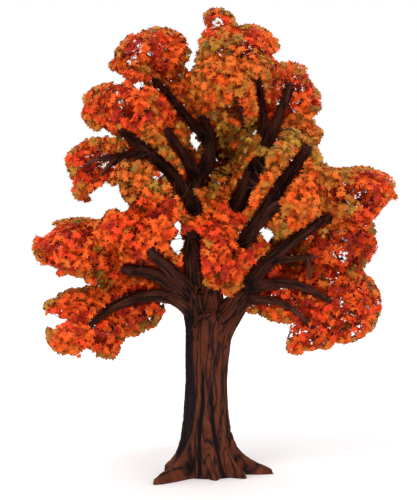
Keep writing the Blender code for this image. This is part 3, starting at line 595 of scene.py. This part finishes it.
def barkPiece(pieces, name, names, cage, material):  # one skin over the joined limbs, with its relief
    piece = joinPieces(pieces, name)
    applyModifier(piece, "REMESH", mode="VOXEL", voxel_size=cage["voxel"])
    applyModifier(piece, "SMOOTH", factor=0.5, iterations=cage["smoothing"])
    carveBark(piece, names, names[0] == "trunk")
    piece.data.materials.clear()
    piece.data.materials.append(barkMaterial(material))
    piece.data.shade_smooth()
    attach(piece, "root")
    print(name, len(piece.data.polygons), "faces")
    return piece


def makeTrunk():
    prongs = [name for name in limbs if name.startswith("prong")]
    cage = cages["trunk"]
    pieces = [drawTrunk(), *drawLimbs(prongs, cage)]
    piece = barkPiece(pieces, "trunk_bark", ["trunk", *prongs], cage, "trunkBark")
    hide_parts("trunk")


def makeBoughs(side, names):
    cage = cages["boughs"]
    piece = barkPiece(drawLimbs(names, cage), "bough_bark_" + side, names, cage, "boughBark_" + side)
    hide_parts(*[name for name in names if name in limbs])


# Masses of foliage: the bough that carries it, then its lobes as three numbers for the middle, three for
# the half sizes and, where it is tilted, degrees
masses = {
    "left_low": ("bough_left_low", (-3.12, -0.05, 3.93, 1.12, 1.35, 0.96),
        (-2.05, 0.55, 4.35, 1.08, 1.5, 0.86, 20), (-3.45, -1.15, 3.65, 0.62, 0.75, 0.52)),
    "left_wide": ("bough_left", (-3.35, 0.1, 5.85, 1.22, 1.6, 0.78), (-1.92, 0.75, 5.85, 1.2, 1.6, 0.93),
        (-3.3, -1.45, 5.7, 0.85, 0.85, 0.64)),
    "left_mid": ("bough_left_mid", (-2.82, 0.55, 8.08, 0.92, 1.55, 0.68),
        (-3.18, -0.05, 7.5, 0.42, 0.55, 0.52)),
    "left_inner": ("bough_left_upright", (-1.1, 0.3, 7.5, 0.95, 1.5, 1.0)),
    "left_upper": ("bough_upper_left", (-2.35, -0.15, 9.4, 1.0, 1.3, 0.7),
        (-1.45, 0.7, 9.25, 0.95, 1.45, 0.8)),
    "upper_left": ("bough_crown_left", (-1.46, 0.1, 10.8, 1.02, 1.2, 0.74, 12),
        (-1.55, -1.0, 10.7, 0.7, 0.75, 0.5)),
    "top": ("bough_top", (1.06, 0.45, 10.8, 0.86, 1.2, 0.88), (0.24, -0.15, 11.0, 0.66, 0.95, 1.02),
        (0.95, -1.0, 10.7, 0.68, 0.8, 0.62)),
    "right_upper": ("bough_right_upright", (2.02, 0.5, 9.8, 0.95, 1.4, 0.92)),
    "right_upper_low": ("bough_right_high", (2.12, 0.6, 8.55, 0.98, 1.6, 0.85)),
    "right_wide": ("bough_right_arch", (3.7, -0.2, 7.13, 1.2, 1.55, 0.78, 10),
        (3.5, -1.55, 7.22, 0.85, 0.85, 0.6)),
    "right_mid": ("bough_right_mid", (3.42, 0.75, 6.0, 1.1, 1.6, 0.95)),
    "right_low": ("bough_right_low", (3.45, 0.3, 4.36, 1.08, 1.55, 1.04)),
    "right_low_inner": ("bough_right_lowest", (1.98, 0.4, 4.6, 1.05, 1.5, 0.76, -12),
        (2.74, 0.1, 3.66, 0.68, 0.85, 0.55)),
    "right_inner": ("bough_right_inner", (2.15, 0.45, 6.95, 0.98, 1.5, 0.9)),
    "upper_centre": ("bough_crown", (0.22, 0.4, 9.72, 1.2, 1.5, 0.9)),
    "front_low": ("bough_front_low", (0.28, -1.75, 5.95, 0.98, 0.95, 1.02)),
    "front_left": ("bough_left_short", (-1.55, -2.1, 6.22, 1.15, 1.0, 0.8)),
    "front_right": ("bough_front_right", (2.1, -2.4, 7.15, 1.15, 1.05, 0.9)),
    "front_upper_left": ("bough_fork_left", (-1.75, -1.8, 9.35, 1.0, 0.95, 0.78)),
    "front_upper": ("bough_front_upper", (0.45, -1.95, 9.8, 0.95, 0.95, 0.85)),
    "back_low_left": ("bough_back_low_left", (-2.0, 2.5, 5.6, 1.35, 1.2, 0.95)),
    "back_low_right": ("bough_back_low_right", (2.05, 2.45, 5.45, 1.35, 1.2, 0.95)),
    "back_left": ("bough_back_left", (-1.05, 2.5, 7.6, 1.3, 1.2, 1.05)),
    "back_right": ("bough_back_right", (1.55, 2.5, 7.65, 1.3, 1.2, 1.05),
        (0.35, 1.15, 8.05, 0.75, 0.7, 0.85)),
    "back": ("bough_back", (0.15, 3.1, 5.8, 1.3, 1.0, 1.15)),
    "back_high": ("bough_back_high", (0.15, 2.05, 9.65, 1.5, 1.2, 0.98),
        (0.45, 1.4, 10.75, 0.75, 0.75, 0.58)),
}
# Small lobes on the rims of the masses, in the same terms
rimLobes = {
    "top": ((0.36, 0.1, 11.72, 0.26, 0.36, 0.25), (1.08, 0.1, 11.42, 0.3, 0.35, 0.22)),
    "upper_left": ((-2.36, 0.1, 10.56, 0.24, 0.32, 0.2), (-0.84, 0.1, 10.25, 0.38, 0.45, 0.3)),
    "right_upper": ((2.66, 0.1, 9.5, 0.3, 0.38, 0.28), (2.1, 0.1, 10.44, 0.42, 0.45, 0.22),
        (1.15, 0.6, 10.3, 0.38, 0.42, 0.32)),
    "upper_centre": ((0.82, 0.6, 8.55, 0.48, 0.5, 0.46), (0.2, 0.8, 8.1, 0.42, 0.5, 0.42)),
    "left_wide": ((-2.76, 0.0, 4.98, 0.46, 0.45, 0.18),),
    "right_wide": ((3.35, 0.1, 7.7, 0.42, 0.42, 0.2),),
    "left_low": ((-3.64, 0.1, 3.26, 0.28, 0.38, 0.21), (-2.58, 0.1, 3.2, 0.32, 0.4, 0.28),
        (-3.98, 0.1, 4.3, 0.3, 0.38, 0.24)),
    "right_low_inner": ((2.26, 0.1, 3.36, 0.28, 0.42, 0.34), (1.25, 0.0, 4.31, 0.4, 0.42, 0.2)),
    "front_low": ((0.6, -0.62, 4.98, 0.37, 0.42, 0.42), (0.28, -0.6, 7.15, 0.38, 0.42, 0.34)),
    "left_mid": ((-1.92, 0.5, 8.55, 0.42, 0.5, 0.36), (-3.48, 0.05, 8.05, 0.24, 0.38, 0.34)),
    "left_inner": ((-0.82, 0.85, 8.35, 0.5, 0.5, 0.5),),
    "front_right": ((1.75, -1.75, 8.15, 0.85, 0.85, 0.65),),
    "front_left": ((-1.35, -1.6, 7.35, 0.85, 0.85, 0.7),),
    "front_upper_left": ((-1.55, -1.55, 8.45, 0.75, 0.75, 0.6),),
}
# Sky that shows through the crown, on the plane of the trunk: x, z, half width, half height
skyGaps = (
    (-0.39, 8.61, 0.13, 0.28), (-1.37, 7.63, 0.13, 0.11), (-0.76, 6.0, 0.14, 0.49),
    (-0.82, 5.9, 0.23, 0.31), (-0.79, 6.39, 0.14, 0.22), (1.52, 6.16, 0.23, 0.23),
    (-0.36, 11.03, 0.15, 0.45), (-0.95, 4.35, 0.25, 0.25), (-2.33, 10.15, 0.31, 0.14),
    (-1.82, 10.02, 0.21, 0.14), (-2.72, 8.79, 0.24, 0.16), (-2.64, 7.26, 0.36, 0.31),
    (-2.23, 6.9, 0.28, 0.23), (-4.14, 5.25, 0.36, 0.2), (-3.62, 5.02, 0.36, 0.18),
    (-4.05, 3.95, 0.45, 0.22), (-3.13, 3.09, 0.28, 0.2), (-1.51, 3.45, 0.52, 0.34),
    (-1.1, 3.91, 0.21, 0.36), (-0.24, 11.6, 0.18, 0.45), (0.79, 11.66, 0.16, 0.15),
    (1.79, 10.77, 0.2, 0.18), (2.87, 10.36, 0.41, 0.57), (3.1, 8.45, 0.33, 0.58),
    (4.75, 6.75, 0.41, 0.41), (4.52, 6.49, 0.36, 0.36), (4.37, 5.36, 0.36, 0.46),
    (4.73, 4.35, 0.31, 0.57), (2.82, 3.07, 0.5, 0.2), (-3.41, 9.51, 0.26, 0.46),
    (-1.89, 11.54, 0.46, 0.26), (-3.52, 8.53, 0.26, 0.18), (-3.67, 7.42, 0.23, 0.36),
    (-2.85, 7.16, 0.31, 0.26), (-4.29, 6.34, 0.41, 0.31), (4.29, 8.01, 0.36, 0.18),
    (4.95, 7.35, 0.2, 0.4), (4.5, 6.12, 0.26, 0.5))
# Stretches of boughs that no leaf hides from the front, in shares of their length
bareStretches = (
    ("bough_left_low", 0, 1), ("bough_left", 0, 1), ("bough_left_short", 0, 1), ("bough_left_upright", 0, 1),
    ("bough_upper_left", 0.1, 1), ("bough_left_mid", 0, 1), ("bough_crown", 0, 1),
    ("bough_crown_left", 0, 1), ("bough_fork_left", 0, 1), ("bough_right_upright", 0.38, 0.6),
    ("bough_right_upright", 0.72, 1), ("bough_top", 0.3, 1), ("bough_right_high", 0.35, 1),
    ("bough_right_inner", 0, 1), ("bough_right_arch", 0.1, 1), ("bough_right_mid", 0.2, 1),
    ("bough_right_low", 0.1, 1), ("bough_right_lowest", 0.1, 1))
growth = Values(
    seed=11,
    melt=0.38,  # how widely neighbouring lobes run together
    swell=0.22,  # metres that the skin rises and dips between the lobes
    swellLengths=(0.9, 2.4, 9),  # metres from one rise to the next: shortest, longest, how many
    swellSum=3,  # of those waves on a rise
    swellInset=0.5,  # metres in from the outline where the swell is whole
    outlineMargin=-0.04,  # metres that leaf middles may stand out of the outline seen from the front
    skin=0.15,  # metres that leaves may stand out of a lobe
    limbMargin=0.02,
    bareMargin=0.07,
    boxMargin=0.1,
    candidates=150,  # places tried per cubic metre of a ball this much larger than the lobe
    spread=1.3,
    spreadVolume=4.2 * 2.2,
    layers=((-0.36, -0.15, 0.39), (-0.85, -0.45, 0.55)),  # depth from and to, spacing of tufts
    tuftRadius=(0.28, 0.46),
    reachSpread=(0.8, 1.05),
    turn=6.3,
    spraysPerTuft=17,  # those that point back into the lobe are left out
    backward=-0.25,
    sprayDroop=0.03,
    outwardness=0.8,  # how far the leaves of a spray face out of the crown
)
stem = Values(
    sunk=0.1,  # metres into the bough's tip
    girth=1.05,
    handle=0.4,
    reach=0.9,  # share of the way to a lobe's heart
    tipRadius=0.022,
    points=9,
    fork=5,  # the point where the next stem starts
    taper=0.8,
    forks=(0.35, 0.50, 0.65, 0.80, 1.0),
    sides=8,
)
twig = Values(
    forks=(0.25, 0.40, 0.55, 0.70),
    likely=24,  # forks that are looked at closely
    detour=0.35,  # what counts against a fork: the way round, a sharp turn, no room, and crossing
    sharpCost=5,  # open sky or a bough that shows
    nearCost=9,
    crossCost=4,
    sharpest=0.0,  # cosine of the sharpest turn
    nearest=0.1,
    looks=(0.3, 0.7),  # shares of the way where crossing is looked for
    crook=0.05,
    sag=0.04,
    radii=(0.016, 0.012, 0.008),
    sprayRadii=(0.006, 0.003),
    sides=3,
    colour=(0.075, 0.026, 0.022),
    roughness=0.8,
)
leaf = Values(
    pairs=(0.42, 0.72, 1.0),  # shares along a spray where its leaf pairs sit
    length=0.175,
    lengthSpread=(0.78, 1.12),
    forward=0.55,  # of a pair along its spray
    droop=0.35,
    skyward=0.25,
    sideScatter=0.3,
    faceScatter=0.38,
    tipScatter=0.25,
    curl=(-0.6, 2.6),
    middle=0.45,  # share of its length
    roughness=0.6,
)
# Outline of a leaf: stalk end, then lobe, notch, lobe, notch up its right side, tip, and down its left
leafSide = ((0.30, -0.30, 0.02), (0.17, -0.08, 0.03), (0.50, 0.13, -0.02), (0.15, 0.20, 0.03))
leafOutline = np.array(((0.0, -0.36, 0.0), *leafSide, (0.0, 0.62, -0.05),
                        *((-x, y, z) for x, y, z in leafSide[::-1])))
leafFaces = np.array((
    (0, 1, 2), (2, 3, 4), (0, 2, 4), (0, 4, 5), (0, 8, 9), (8, 6, 7), (0, 6, 8), (0, 5, 6)))

tints = {
    "deepRed": (0.36, 0.018, 0.006),
    "scarlet": (0.74, 0.05, 0.008),
    "redOrange": (0.76, 0.096, 0.009),
    "orange": (0.66, 0.124, 0.012),
    "amber": (0.44, 0.132, 0.014),
    "gold": (0.4, 0.18, 0.018),
    "olive": (0.22, 0.115, 0.018),
}
# Tints of a mass from the heart of its lobes to their rims
palettes = {
    "red": (("scarlet", "redOrange", "redOrange", "deepRed"), ("scarlet", "redOrange", "orange", "amber"),
            ("gold", "amber", "orange", "orange", "olive")),
    "orange": (("orange", "redOrange", "amber", "orange"), ("orange", "amber", "amber", "redOrange"),
               ("gold", "amber", "gold", "olive")),
}
orangeMasses = ("upper_centre", "right_upper_low", "right_inner", "front_upper", "front_right", "back_high",
                "back_left", "back_low_right")
tinting = Values(
    rim=(0.72, 1.15),  # shares of a lobe's size where the rim starts and ends
    zones=(0.30, 0.72),
    lobeMargin=0.1,
    edge=0.25,  # metres of gold along the outline seen from the front
    scatter=0.22,
    frontSwell=0.10,
    backSwell=0.30,
    swellPace=1.6,
    turnToBack=2.5,
)


def lobeFrame(lobe):  # middle, half sizes and axes
    turn = math.radians(lobe[6] if len(lobe) > 6 else 0)
    axes = np.array(((math.cos(turn), 0, math.sin(turn)), (0, 1, 0), (-math.sin(turn), 0, math.cos(turn))))
    return np.array(lobe[:3]), np.array(lobe[3:6]), axes


def outside(offset, half):  # metres outside an ellipsoid or an ellipse, below zero inside
    share = np.maximum(np.linalg.norm(offset / half, axis=1), 1e-6)
    return np.linalg.norm(offset, axis=1) * (1 - 1 / share)


def swellWaves():  # directions and lengths of the waves that the swells are summed from
    rng = np.random.default_rng(growth.seed)
    lengths = np.linspace(*growth.swellLengths)
    headings = unit(rng.normal(size=(len(lengths), 3)))
    return headings * 2 * math.pi / lengths[:, None], rng.uniform(0, 2 * math.pi, len(lengths))


def swell(points):  # about -1 in a dip of the crown to 1 on a rise
    waves, turns = swellWaves()
    return np.sin(points @ waves.T + turns).sum(axis=1) / growth.swellSum


def crownDepth(points):  # metres outside the whole crown, outside the nearest lobe, and whose lobe it is
    depths = np.array([outside((points - centre) @ axes.T, half) for centre, half, axes in lobeFrames])
    melted = -growth.melt * np.log(np.exp(-depths / growth.melt).sum(axis=0))
    inward = np.clip(-pastOutline(points) / growth.swellInset, 0, 1)
    melted -= growth.swell * inward * swell(points)
    return melted, depths.min(axis=0), lobeOwners[depths.argmin(axis=0)]


def crownSlope(points):  # the way out of the crown
    h = 0.05
    slope = [crownDepth(points + step)[0] - crownDepth(points - step)[0] for step in np.eye(3) * h]
    return unit(np.stack(slope, axis=1))


def seenFromFront(points):  # where the eye sees them on the plane of the trunk
    scale = view.distance / (view.distance + points[:, 1])
    return np.stack((points[:, 0] * scale, view.height + (points[:, 2] - view.height) * scale), axis=1)


def pastOutline(points):  # metres outside the lobes' outline as seen from the front
    seen = seenFromFront(points)
    best = np.full(len(points), np.inf)
    for centre, half, axes in lobeFrames:
        scale = view.distance / (view.distance + centre[1])
        offset = (seen - seenFromFront(centre[None])) / scale @ axes[::2, ::2].T
        best = np.minimum(best, outside(offset, half[::2]) * scale)
    return best


def nearestClearance(points):  # metres from the nearest limb
    clearance = np.full(len(points), np.inf)
    if not len(points):
        return clearance
    near = nearBox(limbPlaces, points, sampling.search)
    places, radii = limbPlaces[near], limbRadii[near]
    for first in range(0, len(points) if len(places) else 0, sampling.roomBatch):
        part = slice(first, first + sampling.roomBatch)
        apart = np.linalg.norm(points[part, None] - places[None], axis=2) - radii
        clearance[part] = apart.min(axis=1)
    return clearance


def hidesBough(points):  # would stand before a stretch of bough that shows
    seen = seenFromFront(points)
    hides = np.zeros(len(points), dtype=bool)
    for name, first, last in bareStretches:
        line = lines[name]
        s = np.arange(first, last + 0.001, sampling.pitch / line.length) * line.length
        middles, radii = placeOn(line, s), radiusOn(line, s)
        flat = seenFromFront(middles)
        chosen = np.nonzero(nearBox(seen, flat, sampling.bareSearch))[0]
        if len(chosen):
            apart = np.linalg.norm(seen[chosen, None] - flat[None], axis=2) - radii - growth.bareMargin
            near = np.argmin(apart, axis=1)
            inFront = points[chosen, 1] < middles[near, 1] + radii[near]
            hides[chosen] |= (apart.min(axis=1) < 0) & inFront
    return hides


def openSky(points):  # in a sky gap or past the outline, as seen from the front
    seen = seenFromFront(points)
    sky = pastOutline(points) > growth.outlineMargin
    for x, z, halfWidth, halfHeight in skyGaps:
        sky |= np.abs(seen[:, 0] - x) / halfWidth + np.abs(seen[:, 1] - z) / halfHeight < 1
    return sky


def hasRoom(number, points, skin):  # in the mass's own space, off the limbs, out of the open sky
    melted, nearest, owner = crownDepth(points)
    good = (owner == number) & (melted < skin)
    good &= (nearest < skin) | (pastOutline(points) < 0)
    good &= ~openSky(points)
    good[good] = nearestClearance(points[good]) > growth.limbMargin
    return good


def spiral(count, turn):  # directions spread evenly over a ball
    k = np.arange(count) + 0.5
    z = 1 - 2 * k / count
    angle = k * math.pi * (3 - math.sqrt(5)) + turn
    flat = np.sqrt(1 - z * z)
    return np.stack((flat * np.cos(angle), flat * np.sin(angle), z), axis=1)


def tuftPlaces(number, rng):  # middles of the tufts under the skin, and the way out from each
    tried = []
    for lobe in allLobes[number]:
        centre, half, axes = lobeFrame(lobe)
        count = round(growth.candidates * np.prod(half) * growth.spreadVolume)
        ball = unit(rng.normal(size=(count, 3))) * rng.uniform(0, 1, (count, 1)) ** (1 / 3)
        tried.append(centre + (ball * half * growth.spread) @ axes)
    tried = rng.permutation(np.concatenate(tried))
    tried = tried[hasRoom(number, tried, 0.0)]
    melted = crownDepth(tried)[0]
    places = np.empty((0, 3))
    for low, high, spacing in growth.layers:
        for place in tried[(melted > low) & (melted < high)]:
            if not len(places) or np.linalg.norm(places - place, axis=1).min() > spacing:
                places = np.vstack((places, place))
    return places, crownSlope(places)


def stemCurve(start, heading, end):
    length = np.linalg.norm(end - start)
    out = start + heading * stem.handle * length
    t = np.linspace(0, 1, stem.points)[:, None]
    return (1 - t) ** 2 * start + 2 * (1 - t) * t * out + t ** 2 * end


def growStem(name):  # curves from the bough's tip to the heart of each lobe, with their radii
    bough, *lobes = masses[name]
    line = lines[bough]
    tip, ahead = line.points[-1], headingOn(line, line.length)
    stems, radii = [], []
    start, radius = tip - ahead * stem.sunk, line.tipRadius * stem.girth
    for lobe in sorted(lobes, key=lambda lobe: np.linalg.norm(np.array(lobe[:3]) - tip)):
        heart = np.array(lobe[:3])
        curve = stemCurve(start, ahead, start + (heart - start) * stem.reach)
        stems.append(curve)
        radii.append(np.linspace(radius, stem.tipRadius, len(curve)))
        k = stem.fork
        start, ahead = curve[k], unit(curve[k + 1] - curve[k])
        radius = radii[-1][k] * stem.taper
    return np.array(stems), np.array(radii)


def growTwigs(number, name, rng):  # a twig to every tuft from the best fork, the nearest tufts first
    tip = lines[masses[name][0]].points[-1]
    forks, headings, travels = [], [], []

    def addForks(points, travel, shares):
        count = len(points) - 1
        length = np.linalg.norm(np.diff(points, axis=0), axis=1).sum()
        for share in shares:
            k = min(int(share * count), count - 1)
            forks.append(points[k] + (points[k + 1] - points[k]) * (share * count - k))
            headings.append(unit(points[k + 1] - points[k]))
            travels.append(travel + length * share)
        return travel + length

    stems, stemRadii = growStem(name)
    travel = 0.0
    for curve in stems:
        travel = addForks(curve, travel, stem.forks)
    places, outward = tuftPlaces(number, rng)
    order = np.argsort(np.linalg.norm(places - tip, axis=1))
    twigLines = []
    for k in order:
        step = places[k] - np.array(forks)
        reach = np.linalg.norm(step, axis=1)
        facing = (step * np.array(headings)).sum(axis=1) / np.maximum(reach, 1e-6)
        cost = reach + twig.detour * np.array(travels)
        cost = cost + twig.sharpCost * (facing < twig.sharpest) + twig.nearCost * (reach < twig.nearest)
        likely = np.argsort(cost)[:twig.likely]
        for share in twig.looks:
            crossing = places[k] - step[likely] * share
            cost[likely] += twig.crossCost * (openSky(crossing) | hidesBough(crossing))
        chosen = int(likely[np.argmin(cost[likely])])
        fork, length = forks[chosen], reach[chosen]
        middle = (fork + places[k]) / 2 + rng.normal(0, twig.crook, 3) * length - up * twig.sag * length
        twigLines.append((fork, middle, places[k]))
        addForks(np.array(twigLines[-1]), travels[chosen], twig.forks)
    return stems, stemRadii, np.array(twigLines), outward[order]


def tubes(points, radii, sides):  # closed tubes: points is tubes x rings x 3
    count, rings = points.shape[:2]
    ahead = unit(points[:, -1] - points[:, 0])
    side = unit(np.cross(ahead, np.where(np.abs(ahead[:, 2:3]) > 0.9, (1.0, 0.0, 0.0), (0.0, 0.0, 1.0))))
    third = np.cross(ahead, side)
    turns = np.arange(sides) * 2 * math.pi / sides
    circle = np.cos(turns)[None, :, None] * side[:, None] + np.sin(turns)[None, :, None] * third[:, None]
    corners = points[:, :, None] + circle[:, None] * radii[:, :, None, None]
    loops = []
    for ring in range(rings - 1):
        for i in range(sides):
            j = (i + 1) % sides
            low, high = ring * sides, (ring + 1) * sides
            loops += [(low + i, low + j, high + j), (low + i, high + j, high + i)]
    last = (rings - 1) * sides
    loops += [(last, last + i, last + i + 1) for i in range(1, sides - 1)]
    loops += [(0, i + 1, i) for i in range(1, sides - 1)]
    starts = np.arange(count)[:, None, None] * rings * sides
    return corners.reshape(-1, 3), (np.array(loops)[None] + starts).reshape(-1, 3)


def makeMesh(name, points, triangles, materials, materialIndex=None):
    mesh = bpy.data.meshes.new(name)
    mesh.vertices.add(len(points))
    mesh.vertices.foreach_set("co", points.ravel())
    mesh.loops.add(len(triangles) * 3)
    mesh.loops.foreach_set("vertex_index", triangles.ravel())
    mesh.polygons.add(len(triangles))
    mesh.polygons.foreach_set("loop_start", np.arange(len(triangles)) * 3)
    for material in materials:
        mesh.materials.append(material)
    if materialIndex is not None:
        mesh.polygons.foreach_set("material_index", materialIndex)
    mesh.update(calc_edges=True)
    mesh.validate()
    piece = bpy.data.objects.new(name, mesh)
    bpy.context.scene.collection.objects.link(piece)
    return piece


def growSprays(twigLines, outward, rng):  # sprays that fan out of each tuft: start, end, the way out
    starts, ends, outs = [], [], []
    for middle, out in zip(twigLines[:, -1], outward):
        directions = spiral(growth.spraysPerTuft, rng.uniform(0, growth.turn))
        directions = directions[directions @ out > growth.backward]
        reach = rng.uniform(*growth.tuftRadius) * rng.uniform(*growth.reachSpread, len(directions))[:, None]
        starts.append(np.repeat(middle[None], len(directions), axis=0))
        ends.append(middle + directions * reach - up * growth.sprayDroop)
        outs.append(unit(directions + growth.outwardness * out))
    return np.concatenate(starts), np.concatenate(ends), np.concatenate(outs)


def growLeaves(starts, ends, outs, rng):  # stalk end, way to the tip, face and length of every leaf
    ahead = unit(ends - starts)
    side = unit(np.cross(ahead, outs + rng.normal(0, leaf.sideScatter, outs.shape)))
    bases, tipward = [], []
    for share in leaf.pairs:
        for hand in (-1, 1):
            bases.append(starts + (ends - starts) * share)
            tipward.append(ahead * leaf.forward + side * hand - up * leaf.droop)
    bases.append(ends)
    tipward.append(ahead - up * leaf.droop)
    faces, sprays = np.tile(outs, (len(bases), 1)), np.tile(np.arange(len(starts)), len(bases))
    bases, tipward = np.concatenate(bases), np.concatenate(tipward)
    faces = unit(faces + up * leaf.skyward + rng.normal(0, leaf.faceScatter, faces.shape))
    tipward = tipward + rng.normal(0, leaf.tipScatter, tipward.shape)
    tipward = unit(tipward - faces * (tipward * faces).sum(axis=1, keepdims=True))
    lengths = leaf.length * rng.uniform(*leaf.lengthSpread, len(bases))
    return bases, tipward, faces, lengths, sprays


def leafMesh(bases, tipward, faces, lengths, rng):
    across = np.cross(tipward, faces)
    curl = rng.uniform(*leaf.curl, len(bases))[:, None]
    outline = leafOutline - (0, leafOutline[0, 1], 0)
    shape = (outline[None, :, 0:1] * across[:, None] + outline[None, :, 1:2] * tipward[:, None]
             + (outline[None, :, 2:3] * curl[:, :, None]) * faces[:, None])
    corners = bases[:, None] + lengths[:, None, None] * shape
    triangles = leafFaces[None] + np.arange(len(bases))[:, None, None] * len(leafOutline)
    return corners.reshape(-1, 3), triangles.reshape(-1, 3)


def sprayTints(name, ends, rng):  # the tint of each spray, from heart to rim of its lobe
    share = np.full(len(ends), np.inf)
    behind = np.zeros(len(ends))
    for lobe in masses[name][1:]:
        centre, half, axes = lobeFrame(lobe)
        offset = ((ends - centre) @ axes.T) / (half + tinting.lobeMargin)
        back = np.clip(offset[:, 1] * tinting.turnToBack, 0, 1)
        fromFront, fromSide = np.hypot(offset[:, 0], offset[:, 2]), np.hypot(offset[:, 1], offset[:, 2])
        here = fromFront * (1 - back) + fromSide * back
        behind = np.where(here < share, back, behind)
        share = np.minimum(share, here)
    edge = np.clip(1 + pastOutline(ends) / tinting.edge, 0, 1)
    rimStart, rimEnd = tinting.rim
    rim = np.clip((share - rimStart) / (rimEnd - rimStart), 0, 1)
    rim = np.maximum(rim, edge) + rng.normal(0, tinting.scatter, len(ends))
    rim += (tinting.frontSwell + tinting.backSwell * behind) * swell(ends * tinting.swellPace)
    palette = palettes["orange" if name in orangeMasses else "red"]
    zone = np.digitize(rim, tinting.zones)
    order = list(tints)
    return np.array([order.index(palette[z][rng.integers(len(palette[z]))]) for z in zone])


def makeMass(number, name, rng):
    stems, stemRadii, twigLines, outward = growTwigs(number, name, rng)
    starts, ends, outs = growSprays(twigLines, outward, rng)
    bases, tipward, faces, lengths, sprays = growLeaves(starts, ends, outs, rng)
    middles = bases + tipward * lengths[:, None] * leaf.middle
    margin = growth.boxMargin
    inBox = np.all((middles > boxLow + margin) & (middles < boxHigh - margin), axis=1)
    keep = inBox & hasRoom(number, middles, growth.skin) & ~hidesBough(middles)
    tint = sprayTints(name, ends, rng)
    points, triangles = leafMesh(bases[keep], tipward[keep], faces[keep], lengths[keep], rng)
    index = np.repeat(tint[sprays[keep]], len(leafFaces))
    leaves = makeMesh("leaves_" + name, points, triangles, leafMaterials, index)

    carried = np.unique(sprays[keep & (np.arange(len(sprays)) >= len(sprays) - len(starts))])
    sprayLines = np.stack((starts[carried], ends[carried]), axis=1)
    halfway = sprayLines.mean(axis=1)
    sprayLines = sprayLines[~(hidesBough(halfway) | openSky(halfway))]
    parts, faceSets, first = [], [], 0
    for shape, radii, sides in ((sprayLines, twig.sprayRadii, twig.sides),
                                (twigLines, twig.radii, twig.sides), (stems, stemRadii, stem.sides)):
        corners, loops = tubes(shape, np.broadcast_to(radii, shape.shape[:2]), sides)
        parts.append(corners)
        faceSets.append(loops + first)
        first += len(corners)
    wood = makeMesh("twigs_" + name, np.concatenate(parts), np.concatenate(faceSets), [twigMaterial])
    for piece in (leaves, wood):
        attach(piece, "root")
        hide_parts("foliage_" + name)
    return len(twigLines), keep.sum(), len(triangles), sum(len(f) for f in faceSets)


addStudio()
noise.seed_set(limbShape.crookSeed)
layOutLimbs()
makeTrunk()
boughs = [name for name in {**limbs, **twigs} if not name.startswith("prong")]
leftBoughs = [name for name in boughs if lines[name].points[-1, 0] < 0.1]
makeBoughs("left", leftBoughs)
makeBoughs("right", [name for name in boughs if name not in leftBoughs])

limbPlaces, limbRadii = sampleLimbs()
allLobes = [(*lobes, *rimLobes.get(name, ())) for name, (_, *lobes) in masses.items()]
lobeFrames = [lobeFrame(lobe) for lobes in allLobes for lobe in lobes]
lobeOwners = np.array([k for k, lobes in enumerate(allLobes) for _ in lobes])
boxAllowance = (cadBox[1] - cadBox[0]) * 0.03
boxLow = np.array(cadBox[0] - boxAllowance) - 0.01
boxHigh = np.array(cadBox[1] + boxAllowance) + 0.01
leafMaterials = [plainMaterial("leaf_" + name, colour, leaf.roughness) for name, colour in tints.items()]
twigMaterial = plainMaterial("twigBark", twig.colour, twig.roughness)
totals = np.zeros(4, dtype=int)
for number, name in enumerate(masses):
    totals += makeMass(number, name, np.random.default_rng(growth.seed + number))
print("tufts:", totals[0], "leaves:", totals[1], "with", totals[2], "faces; twigs:", totals[3], "faces")
